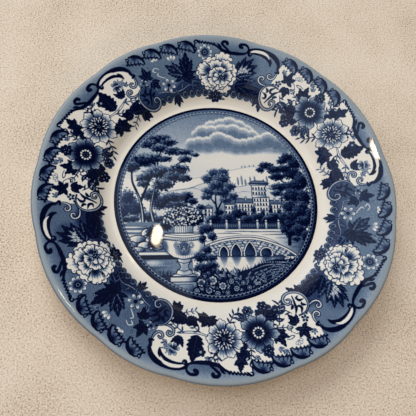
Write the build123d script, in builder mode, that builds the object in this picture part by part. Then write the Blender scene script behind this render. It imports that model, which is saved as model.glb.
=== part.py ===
"""A transfer-printed earthenware plate with a shaped edge, in millimetres.

+Z is up, the origin is the centre of the foot ring's resting plane, and +Y is the top of the printed scene.
The plate is fired as one, so its pieces are the layers that it is made of: the clay body, the inks that are
laid on it, and the clear glaze that seals them in. Each layer follows the surface under it face to face.
"""

import os

from build123d import *

# Edge outline, seen from above
PEAK_RADIUS = 125.0  # at the middle of a wide lobe
NARROW_PEAK_RADIUS = 124.6  # at the middle of a narrow lobe
DIP_RADIUS = 123.6  # at the dips between lobes
LOBE_PAIRS = 6  # wide and narrow lobes alternate round the edge
FIRST_DIP = 13.5  # degrees from +X to the dip where a wide lobe begins
WIDE_LOBE = 36.5  # degrees that a wide lobe spans
DIP_ROUNDING = 9.0

# Clay section, as radii and heights before its corners are rounded
WELL_HEIGHT = 6.4
WELL_RADIUS = 77.5  # where the flat well meets the verge
SHOULDER = (86.0, 14.0)  # where the verge meets the rim
RIM_RISE = 0.2755  # height gained for each millimetre of radius on the rim
EDGE_THICKNESS = 3.6
WELL_UNDERSIDE = 2.0
RIM_UNDERSIDE = (88.1, 9.8)  # where the underside turns from verge to rim
FOOT_OUTER_ROOT = (79.7, 2.2)
FOOT_OUTER = 79.0
FOOT_INNER = 75.6
FOOT_INNER_ROOT = 74.8

VERGE_ROUNDING = 10.0
SHOULDER_ROUNDING = 14.0
FOOT_ROUNDING = 0.7
LIP_ROUNDING = 1.6

# Layers on the clay
INK = 0.1
GLAZE = 0.3
BARE_FOOT = 0.6  # the glaze is wiped off below this height
SPUR_MARKS = 3  # scars in the back glaze, left by the pins that held the plate in the kiln
SPUR_CIRCLE = 97.0
SPUR_MARK_RADIUS = 0.9
SPUR_HEIGHTS = (9.0, 14.0)  # from free air below the rim to the middle of its clay

# Where each ink lies
CENTRE_PRINT_RADIUS = 72.6
BORDER_INNER = 76.0  # the leaves that hang lowest reach this far in
BORDER_OUTER = 120.8  # the printed border ends here, and the edge tint begins
BORDER_SECTIONS = 3
BORDER_JOIN = -4.0  # degrees from +X to the first join between border sections

TOP = 40.0  # a height above everything
OVERHANG = PEAK_RADIUS + 4.0  # how far the section is drawn before the edge is cut
MID_CLAY = 1.8  # a depth below the upper surface that is inside the clay everywhere


def upper_surface(radius):
    """Height of the clay's upper surface at a radius, before its corners are rounded."""
    if radius <= WELL_RADIUS:
        return WELL_HEIGHT
    if radius <= SHOULDER[0]:
        share = (radius - WELL_RADIUS) / (SHOULDER[0] - WELL_RADIUS)
        return WELL_HEIGHT + share * (SHOULDER[1] - WELL_HEIGHT)
    return SHOULDER[1] + RIM_RISE * (radius - SHOULDER[0])


def outline_point(radius, degrees):
    return Vector(radius, 0, 0).rotate(Axis.Z, degrees)


def edge_outline(grow):
    """The shaped edge from above: convex lobes that meet in softened dips, grown outward by grow."""
    with BuildSketch() as outline:
        with BuildLine():
            for pair in range(LOBE_PAIRS):
                start = FIRST_DIP + pair * 360 / LOBE_PAIRS
                middle = start + WIDE_LOBE
                end = start + 360 / LOBE_PAIRS
                for first, peak, last in ((start, PEAK_RADIUS, middle), (middle, NARROW_PEAK_RADIUS, end)):
                    ThreePointArc(
                        outline_point(DIP_RADIUS + grow, first),
                        outline_point(peak + grow, (first + last) / 2),
                        outline_point(DIP_RADIUS + grow, last),
                    )
        make_face()
        fillet(outline.vertices(), DIP_ROUNDING - grow)
    return outline.sketch


def clay_section():
    """Half of the clay's section, running past the edge, with its corners rounded."""
    edge_height = upper_surface(OVERHANG)
    rounded = {
        (WELL_RADIUS, WELL_HEIGHT): VERGE_ROUNDING,
        SHOULDER: SHOULDER_ROUNDING,
        RIM_UNDERSIDE: SHOULDER_ROUNDING,
        FOOT_OUTER_ROOT: FOOT_ROUNDING,
        (FOOT_OUTER, 0): FOOT_ROUNDING,
        (FOOT_INNER, 0): FOOT_ROUNDING,
        (FOOT_INNER_ROOT, WELL_UNDERSIDE): FOOT_ROUNDING,
    }
    edge = [(OVERHANG, edge_height), (OVERHANG, edge_height - EDGE_THICKNESS)]
    corners = list(rounded)
    with BuildSketch() as section:
        with BuildLine():
            Polyline((0, WELL_HEIGHT), *corners[:2], *edge, *corners[2:], (0, WELL_UNDERSIDE), close=True)
        make_face()
        for (radius, height), rounding in rounded.items():
            fillet(section.vertices().sort_by_distance((radius, height, 0))[0], rounding)
    return section.sketch


def plate_solid(grow):
    """The plate as one solid, with its surface grown outward by grow."""
    with BuildPart() as plate:
        with BuildSketch(Plane.XZ):
            add(clay_section())
            if grow:
                offset(amount=grow, kind=Kind.INTERSECTION, mode=Mode.REPLACE)
            with Locations((OVERHANG, 0)):
                Rectangle(2 * OVERHANG, 2 * TOP, mode=Mode.INTERSECT)
        revolve(axis=Axis.Z)
        with BuildSketch(Plane.XY.offset(-GLAZE)):
            add(edge_outline(grow))
        extrude(amount=TOP, mode=Mode.INTERSECT)
        cut_edges = plate.edges().filter_by(lambda e: Vector((e @ 0.5).X, (e @ 0.5).Y).length > BORDER_OUTER)
        fillet(cut_edges.filter_by(GeomType.LINE, reverse=True), LIP_ROUNDING)
    return plate.part


def layer_region(inner, outer, start=0.0, arc=360.0):
    """A cutting block over the upper surface between two radii, from the middle of the clay upward."""
    turns = [r for r in (WELL_RADIUS, SHOULDER[0]) if inner < r < outer]
    floor = [(r, upper_surface(r) - MID_CLAY) for r in (inner, *turns, outer)]
    with BuildPart() as region:
        with BuildSketch(Plane.XZ.rotated((0, 0, start))):
            with BuildLine():
                Polyline(*floor, (outer, TOP), (inner, TOP), close=True)
            make_face()
        revolve(axis=Axis.Z, revolution_arc=arc)
    return region.part


def write(part, name):
    part.label = name
    export_step(part, f"parts/{name}.step")


os.makedirs("parts", exist_ok=True)

with BuildPart() as body:
    add(plate_solid(0))
write(body.part, "earthenware_body")

with BuildPart() as ink:
    add(plate_solid(INK))
    add(body.part, mode=Mode.SUBTRACT)

with BuildPart() as centre_print:
    add(layer_region(0, CENTRE_PRINT_RADIUS))
    add(ink.part, mode=Mode.INTERSECT)
write(centre_print.part, "centre_print")

border_prints = []
for number in range(BORDER_SECTIONS):
    arc = 360 / BORDER_SECTIONS
    with BuildPart() as border_print:
        add(layer_region(BORDER_INNER, BORDER_OUTER, BORDER_JOIN + number * arc, arc))
        add(ink.part, mode=Mode.INTERSECT)
    border_prints.append(border_print.part)
    write(border_print.part, f"border_print_{number + 1}")

with BuildPart() as edge_tint:
    add(layer_region(BORDER_OUTER, OVERHANG))
    add(ink.part, mode=Mode.INTERSECT)
write(edge_tint.part, "edge_tint")

with BuildPart() as glaze:
    add(plate_solid(GLAZE))
    for under in (body.part, centre_print.part, *border_prints, edge_tint.part):
        add(under, mode=Mode.SUBTRACT)
    split(bisect_by=Plane.XY.offset(BARE_FOOT), keep=Keep.TOP)
    with BuildSketch(Plane.XY.offset(SPUR_HEIGHTS[0])):
        with PolarLocations(SPUR_CIRCLE, SPUR_MARKS):
            Circle(SPUR_MARK_RADIUS)
    extrude(amount=SPUR_HEIGHTS[1] - SPUR_HEIGHTS[0], mode=Mode.SUBTRACT)

glaze_coats = glaze.solids().sort_by(SortBy.VOLUME, reverse=True)
for coat, name in zip(glaze_coats, ("glaze_outer", "glaze_foot_well"), strict=True):
    with BuildPart() as glaze_coat:
        add(coat)
    write(glaze_coat.part, name)

for name, piece in (("body", body), ("ink", ink), ("glaze", glaze)):
    print(name, round(piece.part.volume), "mm3 in", len(piece.solids()), "solid(s)")
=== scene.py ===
import math

import bmesh
import bpy
import numpy as np
from mathutils import Matrix, Vector


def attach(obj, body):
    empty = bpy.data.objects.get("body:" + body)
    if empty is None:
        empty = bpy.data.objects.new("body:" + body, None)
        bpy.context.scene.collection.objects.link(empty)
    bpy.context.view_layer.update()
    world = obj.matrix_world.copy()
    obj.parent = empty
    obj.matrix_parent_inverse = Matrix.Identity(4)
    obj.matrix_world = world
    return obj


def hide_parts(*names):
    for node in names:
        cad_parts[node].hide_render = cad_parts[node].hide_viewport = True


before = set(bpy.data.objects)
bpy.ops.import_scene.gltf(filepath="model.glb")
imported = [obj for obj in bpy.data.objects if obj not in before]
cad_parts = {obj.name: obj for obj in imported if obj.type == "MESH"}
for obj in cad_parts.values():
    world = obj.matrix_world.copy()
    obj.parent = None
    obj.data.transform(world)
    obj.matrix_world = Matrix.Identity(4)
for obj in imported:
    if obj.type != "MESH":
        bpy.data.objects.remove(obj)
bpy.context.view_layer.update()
MM = 0.001

# Clay section, in mm: radii, heights and how far each corner is rounded
WELL_HEIGHT, WELL_UNDERSIDE = 6.4, 2.0
SHOULDER, RIM_RISE = (86.0, 14.0), 0.2755  # where the verge meets the rim, and its rise for each mm of radius
RIM_UNDERSIDE, UNDER_RISE = (88.1, 9.8), 0.3043
LIP_ROUNDING, FOOT_ROUNDING = 1.6, 0.7
TOP_CORNERS = [((77.5, WELL_HEIGHT), 10.0), (SHOULDER, 14.0)]
UNDER_CORNERS = [(RIM_UNDERSIDE, 14.0)]
UNDER_CORNERS += [(c, FOOT_ROUNDING) for c in ((79.7, 2.2), (79.0, 0.0), (75.6, 0.0), (74.8, WELL_UNDERSIDE))]

# The shaped edge, in mm and degrees
LOBES = [(13.5, 36.5, 125.0), (50.0, 23.5, 124.6)]  # first dip, span and peak of the wide and narrow lobe
LOBE_PAIR = 60.0  # degrees that the two span together
DIP_RADIUS = 123.6
DIP_SOFTENING, DIP_WINDOW = 2.2, 5  # in steps of FINE_ANGLES


def rim_height(radius):
    """Height of the rim's plain upper cone."""
    return SHOULDER[1] + RIM_RISE * (radius - SHOULDER[0])


def under_height(radius):
    """Height of the rim's underside."""
    return RIM_UNDERSIDE[1] + UNDER_RISE * (radius - RIM_UNDERSIDE[0])


def rounded(corners, start, end, steps):
    """Points of a section that runs from start to end past corners, each rounded by its own radius."""
    places = [start] + [c for c, _ in corners] + [end]
    out = [np.array([start])]
    for i, (corner, radius) in enumerate(corners):
        corner = np.array(corner)
        back = np.array(places[i]) - corner
        ahead = np.array(places[i + 2]) - corner
        back /= np.linalg.norm(back)
        ahead /= np.linalg.norm(ahead)
        half = math.acos(float(np.clip(back @ ahead, -1, 1))) / 2
        reach = radius / math.tan(half)
        middle = back + ahead
        middle /= np.linalg.norm(middle)
        centre = corner + middle * radius / math.sin(half)
        a, b = corner + back * reach - centre, corner + ahead * reach - centre
        angle_a, angle_b = math.atan2(a[1], a[0]), math.atan2(b[1], b[0])
        sweep = (angle_b - angle_a + math.pi) % (2 * math.pi) - math.pi
        angles = angle_a + np.linspace(0, 1, steps) * sweep
        out.append(centre + radius * np.stack([np.cos(angles), np.sin(angles)], axis=1))
    out.append(np.array([end]))
    return np.vstack(out)


def divided(points, step):
    """The same path, with its long runs divided."""
    out = [points[:1]]
    for a, b in zip(points[:-1], points[1:]):
        count = max(1, round(float(np.linalg.norm(b - a)) / step))
        out.append(a + (b - a) * (np.arange(1, count + 1)[:, None] / count))
    return np.vstack(out)


def grown(points, amount):
    """A path moved outward, to the left of its run."""
    ahead = np.gradient(points, axis=0)
    ahead /= np.linalg.norm(ahead, axis=1)[:, None]
    return points + amount * np.stack([-ahead[:, 1], ahead[:, 0]], axis=1)


def edge_radius(degrees):
    """Radius of the clay's shaped edge at an angle."""
    best = np.zeros_like(degrees)
    for first, span, peak in LOBES:
        past = (degrees - first) % LOBE_PAIR
        half = math.radians(span / 2)
        # circle through the two dips and the peak, on the lobe's middle line
        dip_x, dip_y = DIP_RADIUS * math.cos(half), DIP_RADIUS * math.sin(half)
        centre = (peak**2 - dip_x**2 - dip_y**2) / (2 * (peak - dip_x))
        radius = peak - centre
        past = np.where(past > (LOBE_PAIR + span) / 2, past - LOBE_PAIR, past)
        off = np.radians(past - span / 2)
        reach = centre * np.cos(off) + np.sqrt(np.maximum(radius**2 - (centre * np.sin(off)) ** 2, 0))
        best = np.maximum(best, np.where(np.abs(off) <= half * 1.15, reach, 0))
    return best


FINE_ANGLES = np.arange(0, 360, 0.25)
FINE_EDGE = edge_radius(FINE_ANGLES)
SHIFTS = np.arange(-DIP_WINDOW, DIP_WINDOW + 1)
KERNEL = np.exp(-0.5 * (SHIFTS / DIP_SOFTENING) ** 2)
FINE_EDGE = sum(k * np.roll(FINE_EDGE, s) for s, k in zip(SHIFTS, KERNEL / KERNEL.sum()))


def outline(degrees):
    """Radius of the shaped edge, with the dips between its lobes softened."""
    return np.interp(np.asarray(degrees) % 360, FINE_ANGLES, FINE_EDGE, period=360)


# The rim's upper face rolls over toward the lip: how much less it rises, at distances in from the edge
ROLL_REACH = np.linspace(-1.0, 4.5, 221)
ROLL_SLOPE = np.interp(ROLL_REACH, [0.0, 2.0, 2.4, 3.0, 4.0], [0.22, 0.22, 0.158, 0.146, 0.0])
ROLL_DROP = np.cumsum(ROLL_SLOPE[::-1])[::-1] * (ROLL_REACH[1] - ROLL_REACH[0])
# and it sinks a little at every second dip of the edge
FLUTE_AT, FLUTE_SPREAD, FLUTE_DEPTH = 14.0, 8.0, 0.35
FLUTE_START, FLUTE_RUN = 88.0, 22.0  # radius where a flute begins, and how far it takes to reach its depth


def rim_drop(radius, degrees):
    """How far the upper face lies under the plain cone of the rim, in mm."""
    roll = np.interp(outline(degrees) - radius, ROLL_REACH, ROLL_DROP)
    off = (np.asarray(degrees) - FLUTE_AT + LOBE_PAIR / 2) % LOBE_PAIR - LOBE_PAIR / 2
    reach = np.clip((radius - FLUTE_START) / FLUTE_RUN, 0, 1)
    return roll + FLUTE_DEPTH * np.exp(-0.5 * (off / FLUTE_SPREAD) ** 2) * reach**2 * (3 - 2 * reach)


PAST_EDGE = 135.0  # mm, beyond the widest place of the plate
TOP_PATH = divided(rounded(TOP_CORNERS, (0.0, WELL_HEIGHT), (PAST_EDGE, rim_height(PAST_EDGE)), 24), 0.8)


def top_height(radius, lift, degrees):
    """Height of the upper surface, lift above the clay, in mm."""
    path = grown(TOP_PATH, lift)
    return np.interp(radius, path[:, 0], path[:, 1]) - rim_drop(radius, degrees)


SOFT = 0.24  # mm over which a printed edge fades
RNG = np.random.default_rng(11)
GOLDEN = 2.39996  # radians, the turn from one seed to the next in a flower head


def draw(low, high):
    return float(RNG.uniform(low, high))


def stray(spread):
    return float(RNG.normal(0, spread))


def turned(points, degrees):
    c, s = math.cos(math.radians(degrees)), math.sin(math.radians(degrees))
    return np.atleast_2d(np.asarray(points, float)) @ np.array([[c, s], [-s, c]])


def smooth(points, closed=False, steps=6):
    """A flowing curve through points, which may carry more columns, such as a width."""
    p = np.asarray(points, float)
    count = len(p)
    ring = np.arange(-1, count + 2) % count if closed else np.clip(np.arange(-1, count + 1), 0, count - 1)
    p = p[ring]
    t = np.linspace(0, 1, steps, endpoint=False)[:, None, None]
    a, b, c, d = p[:-3], p[1:-2], p[2:-1], p[3:]
    curve = 0.5 * (2 * b + (c - a) * t + (2 * a - 5 * b + 4 * c - d) * t**2 + (3 * b - a - 3 * c + d) * t**3)
    curve = curve.transpose(1, 0, 2).reshape(-1, p.shape[1])
    return curve if closed else np.vstack([curve, p[-2]])


def polar(pairs):
    """Plate points of (degrees, radius) pairs."""
    pairs = np.asarray(pairs, float)
    a = np.radians(pairs[:, 0])
    return np.stack([pairs[:, 1] * np.cos(a), pairs[:, 1] * np.sin(a)], axis=1)


def at_rim(angle, radius, turn=0.0, stretch=1.0):
    """Sets motif points, x along the rim and y outward, at a place on the border."""
    a = math.radians(angle)
    axes = np.array([[-math.sin(a), math.cos(a)], [math.cos(a), math.sin(a)]])

    def place(points):
        return turned(np.atleast_2d(points) * (stretch, 1), turn) @ axes + radius * axes[1]

    return place


def at(x, y, turn=0.0):
    """Sets motif points at a flat place in the centre picture."""
    return lambda points: turned(points, turn) + (x, y)


def within(place, dx=0.0, dy=0.0, turn=0.0):
    """A motif's own place inside a larger motif."""
    return lambda points: place(turned(points, turn) + (dx, dy))


class Print:
    """Ink, from 0 for none to 1 for the darkest, on a grid of points at x and y on the plate."""

    def __init__(self, x, y, locate, turns=(0.0,)):
        self.x, self.y, self.locate, self.turns = x, y, locate, turns
        self.ink = np.zeros_like(x)

    def patches(self, points, reach):
        for turn in self.turns:
            moved = turned(points, turn) if turn else points
            area = self.locate(moved, reach)
            if area is not None:
                yield moved, area, self.x[area], self.y[area]

    def lay(self, area, cover, tone):
        patch = self.ink[area]
        patch += (tone - patch) * cover

    def fill(self, outline, tone, rim=None, rim_width=0.4, root=None, root_tone=0.6, strength=1.0, soft=SOFT):
        """Fills an outline. root is where its shading starts and ends, and rim the tone of its edge line."""
        points = np.asarray(outline, float) if root is None else np.vstack([outline, root])
        for moved, area, x, y in self.patches(points, soft):
            shape = moved if root is None else moved[:-2]
            nearest = np.full(x.shape, 1e9)
            inside = np.zeros(x.shape, bool)
            for (ax, ay), (bx, by) in zip(shape, np.roll(shape, -1, axis=0)):
                ex, ey = bx - ax, by - ay
                px, py = x - ax, y - ay
                along = np.clip((px * ex + py * ey) / (ex * ex + ey * ey + 1e-12), 0, 1)
                np.minimum(nearest, (px - along * ex) ** 2 + (py - along * ey) ** 2, out=nearest)
                inside ^= ((ay > y) != (by > y)) & (px < py * (ex / (ey or 1e-12)))
            away = np.where(inside, -1, 1) * np.sqrt(nearest)
            value = np.full(x.shape, float(tone))
            if root is not None:
                start, end = moved[-2], moved[-1]
                fade = np.hypot(x - start[0], y - start[1]) / max(float(np.hypot(*(end - start))), 1e-6)
                fade = np.clip(fade, 0, 1)
                value = root_tone + (tone - root_tone) * fade * fade * (3 - 2 * fade)
            if rim is not None:
                value = value + (rim - value) * np.clip(0.5 + (away + rim_width) / soft, 0, 1)
            self.lay(area, strength * np.clip(0.5 - away / soft, 0, 1), value)

    def line(self, path, widths, tone, strength=1.0):
        """A line whose width runs through widths from end to end."""
        path = np.atleast_2d(path)
        wide = np.interp(np.linspace(0, 1, len(path)), np.linspace(0, 1, len(widths)), widths) / 2
        self.band(np.column_stack([path, wide]), tone, strength)

    def band(self, path, tone, strength=1.0):
        """A line of points (x, y, half width)."""
        for moved, area, x, y in self.patches(path[:, :2], float(path[:, 2].max()) + SOFT):
            away = np.full(x.shape, 1e9)
            for k in range(len(moved) - 1):
                (ax, ay), (bx, by) = moved[k], moved[k + 1]
                ex, ey = bx - ax, by - ay
                px, py = x - ax, y - ay
                along = np.clip((px * ex + py * ey) / (ex * ex + ey * ey + 1e-12), 0, 1)
                half = path[k, 2] + along * (path[k + 1, 2] - path[k, 2])
                np.minimum(away, np.hypot(px - along * ex, py - along * ey) - half, out=away)
            self.lay(area, strength * np.clip(0.5 - away / SOFT, 0, 1), tone)

    def dab(self, x0, y0, wide, high, turn, tone, strength=1.0, soft=SOFT):
        """An ellipse with soft edges."""
        big = max(wide, high)
        corners = np.array([(x0 - big, y0 - big), (x0 + big, y0 + big), (x0 - big, y0 + big),
                            (x0 + big, y0 - big)])
        c, s = math.cos(math.radians(turn)), math.sin(math.radians(turn))
        for moved, area, x, y in self.patches(corners, soft):
            mx, my = moved.mean(axis=0)
            px, py = x - mx, y - my
            far = np.hypot((px * c + py * s) / wide, (py * c - px * s) / high)
            self.lay(area, strength * np.clip(0.5 - (far - 1) * min(wide, high) / soft, 0, 1), tone)


# ---------------------------------------------------------------- motifs
def circle(radius, count=20, stretch=1):
    a = np.linspace(0, 2 * math.pi, count, endpoint=False)
    return np.stack([radius * stretch * np.cos(a), radius * np.sin(a)], axis=1)


def petal(length, width, scallops, depth):
    """Outline of a petal from its root outward, with a scalloped tip."""
    k = np.linspace(0, math.pi, 6 * scallops + 1)
    reach = 1 - depth * (1 - np.abs(np.sin(scallops * k)) ** 0.6)
    tip = np.stack([0.5 * width * np.cos(k) * reach, length * (0.64 + 0.36 * np.sin(k) * reach)], axis=1)
    side = np.array([(0.08 * width, 0.05 * length), (0.32 * width, 0.34 * length)])
    return np.vstack([side, tip, side[::-1] * (-1, 1)])


def blossom(ink, place, count, length, width, tone, root_tone, scallops, depth, lines, first, rim,
            rim_width, hatch, jitter, shade_from=0.3, shade_to=0.95):
    """A ring of petals, every second one underneath, with engraved lines that run out from the root."""
    for under in (0, 1):
        for n in range(under, count, 2):
            spread = within(place, turn=first + n * 360 / count + stray(2.5))
            long = length * (1 + stray(jitter))
            root = np.vstack([spread([(0, shade_from * long)]), spread([(0, shade_to * long)])])
            ink.fill(spread(petal(long, width, scallops, depth)), tone, rim, rim_width, root=root,
                     root_tone=root_tone)
            for k in range(lines):
                side = ((k + 0.5) / lines - 0.5) * width
                stop = 0.72 + 0.14 * (k % 2)
                run = [(side * 0.5, 0.4 * long), (side * 0.8, 0.6 * long), (side * 0.92, stop * long)]
                ink.line(spread(run), (0.42, 0.32, 0.06), hatch)


def peony(ink, place):
    for count, length, width, dx, dy, scallops, first in (
        (7, 15.6, 13.8, 0.6, 0.4, 4, 16),
        (6, 12.4, 11.6, 1.4, 0.4, 4, 47),
        (5, 8.4, 9.4, -0.2, -1.6, 3, 8),
    ):
        flower = within(place, dx, dy)
        ink.fill(flower(circle(0.72 * length, 24)), 0.9, soft=1.2)
        blossom(ink, flower, count, length, width, 0, 0.92, scallops, 0.22, 6, first, 0.92, 0.5, 0.85, 0.12,
                0.45, 0.82)
    heart = within(place, -0.8, -3)
    ink.fill(heart(circle(2.7, stretch=1.25)), 0.95)
    for n in range(16):
        far = 2.5 * math.sqrt((n + 0.5) / 16)
        dot = heart([(1.2 * far * math.cos(2.4 * n), far * math.sin(2.4 * n))])[0]
        ink.dab(*dot, 0.28, 0.28, 0, 0.15)
    for turn in (-150, -100, -50, 150):
        cup = within(heart, turn=turn)
        ink.fill(cup(petal(4.4, 3.6, 2, 0.15) + (0, 0.8)), 0, 0.85, 0.34, root=cup([(0, 0.5), (0, 4.6)]),
                 root_tone=0.5)


def dots(ink, place, count, reach, size, tone):
    for n in range(count):
        ink.dab(*within(place, turn=n * 360 / count)([(0, reach)])[0], size, size, 0, tone)


def daisy(ink, place, tone, root_tone, dark):
    """A wide open flower. dark flowers have a pale ring at the heart, and pale ones a burst of stamens."""
    ink.fill(place(circle(8.6, 24)), 0.95)
    blossom(ink, place, 9, 12.8, 7.4, tone, root_tone, 3, 0.16, 6, 12, 0.95, 0.42, 0.95 if dark else 0.85,
            0.06, 0.36)
    if dark:
        ink.fill(place(circle(4.6)), 0.9)
        for n in range(11):
            spot = within(place, turn=n * 360 / 11)([(0, 3.1)])[0]
            ink.dab(*spot, 0.72, 0.62, n * 33, 0.02)
        ink.fill(place(circle(2.3)), 0.97)
        dots(ink, place, 6, 1.2, 0.25, 0.4)
    else:
        ink.fill(place(circle(5.9, stretch=1.05)), 0.9, soft=1.4)
        for n in range(30):
            low = 1.9 + 3.6 * math.sqrt(n / 30)
            ink.line(within(place, turn=n * 137.5)([(0, low), (0, low + 1.3)]), (0.3, 1, 0.8), 0)
        ink.fill(place(circle(1.7)), 0.95)
        dots(ink, place, 5, 0.9, 0.24, 0.2)


def floret(ink, place, count, length, width, tone, root_tone, heart, rim=0.9, first=0, heart_size=0.26):
    blossom(ink, place, count, length, width, tone, root_tone, 1, 0, 1, first, rim, 0.28, 0.8, 0.03)
    ink.fill(place(circle(length * heart_size, 12)), heart)


def leaf(ink, place, length, width, teeth, depth, tone, vein, rim=None):
    """A toothed leaf from its root outward, with its veins left paler."""
    t = np.linspace(0, 1, 4 * teeth + 1)
    share = (t * teeth) % 1
    half = 0.5 * width * np.sin(math.pi * t**0.72) ** 0.75 * (1 - depth * (1 - share) ** 1.5)
    half[[0, -1]] = 0.02 * width
    mid = np.stack([0 * t, length * t], axis=1)
    outline = np.vstack([mid + np.stack([half, 0 * t], axis=1),
                         (mid - np.stack([half, 0 * t], axis=1))[::-1]])
    ink.fill(place(outline), tone, rim)
    ink.line(place(mid[1:-2]), (0.55, 0.4, 0.12), vein)
    for k in range(1, teeth):
        low, high = 4 * k - 2, min(4 * k + 1, len(t) - 1)
        for side in (1, -1):
            ink.line(place([mid[low], mid[high] + (side * 0.72 * half[min(high, 4 * k)], 0)]), (0.32, 0.1),
                     vein)


def spray(ink, place, lobes, tone, vein, teeth=5, rim=None):
    """Leaves that fan out from one root: (turn, length, width)."""
    for turn, length, width in lobes:
        leaf(ink, within(place, turn=turn), length, width, teeth, 0.34, tone, vein, rim)


def sprays(ink, tone, vein, *rows):
    """Sprays on the border in one ink: (degrees, radius, lobes)."""
    for angle, radius, lobes in rows:
        spray(ink, at_rim(angle, radius), lobes, tone, vein)


def sprig(ink, place, path, size, tone):
    """A curved stem with small leaves on both sides."""
    curve = smooth(path)
    size *= 1.3
    ink.line(place(curve), (0.8, 0.45), tone)
    for k in range(2, len(curve), 5):
        ahead = curve[k] - curve[k - 1]
        lean = math.degrees(math.atan2(ahead[1], ahead[0])) - 90
        for side in (48, -48):
            blade = within(within(place, *curve[k]), turn=lean + side)
            shape = blade(smooth([(0, 0.2), (0.30 * size, 0.9 * size), (0, 1.9 * size),
                                  (-0.30 * size, 0.9 * size)], True, 3))
            ink.fill(shape, tone, tone, 0.25)


def curl(radius, start, sweep, shrink):
    """A spiral about the origin that winds inward."""
    k = np.linspace(0, 1, 16)
    a = np.radians(start + sweep * k)
    far = radius * (1 - (1 - shrink) * k)
    return np.stack([far * np.cos(a), far * np.sin(a)], axis=1)


def scroll(ink, path, wide, dark, pale):
    """A scroll of leaf: a dark line with a paler one inside it. path holds points (x, y)."""
    ink.line(path, (0.5 * wide, wide, wide, 0.8 * wide), dark)
    ink.line(path, (0, 0.42 * wide, 0.42 * wide, 0.2 * wide), pale)


# ---------------------------------------------------------------- border
TINT = 0.55  # the tinted ground
DARK = 0.97


def frame_lines(ink, s, tone, *runs, steps=6):
    """Curves of (degrees, radius, width) in the frame, s degrees on."""
    for pairs in runs:
        run = smooth(pairs, steps=steps) + (s, 0, 0)
        ink.band(np.column_stack([polar(run[:, :2]), run[:, 2] / 2]), tone)


C_SCROLL = [(3.9, 108.6, 1), (4.4, 112, 2.3), (6, 115.6, 3.4), (8.8, 117.9, 3.2), (12.9, 118.3, 2.7),
            (16.1, 116.6, 2.4), (17.2, 114.2, 1.7)]
SWOOP = [(17.2, 114.4, 1.1), (18.6, 112.8, 1.8), (21, 112, 2.5), (24, 111.9, 2.6), (26.8, 113.2, 2.3),
         (28.6, 115.6, 1.8), (30, 116.8, 1.1)]
ACANTHUS_START, ACANTHUS_PITCH = 37.4, 6.62


def outer_ground(ink, s):
    """The tint that lies outside the frame, over half of a section."""
    inner = [p[:2] for p in C_SCROLL + SWOOP[1:]] + [(33, 117.8), (36.9, 119.6), (37.3, 113)]
    inner += [(a, 114.2) for a in np.arange(39, 64, 2)] + [(63.9, 108.6)]
    outer = [(a, 122.5) for a in np.arange(63.9, 3.8, -1)]
    shape = polar(np.array(inner + outer) + (s, 0))
    ink.fill(shape, 0.62)


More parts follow.
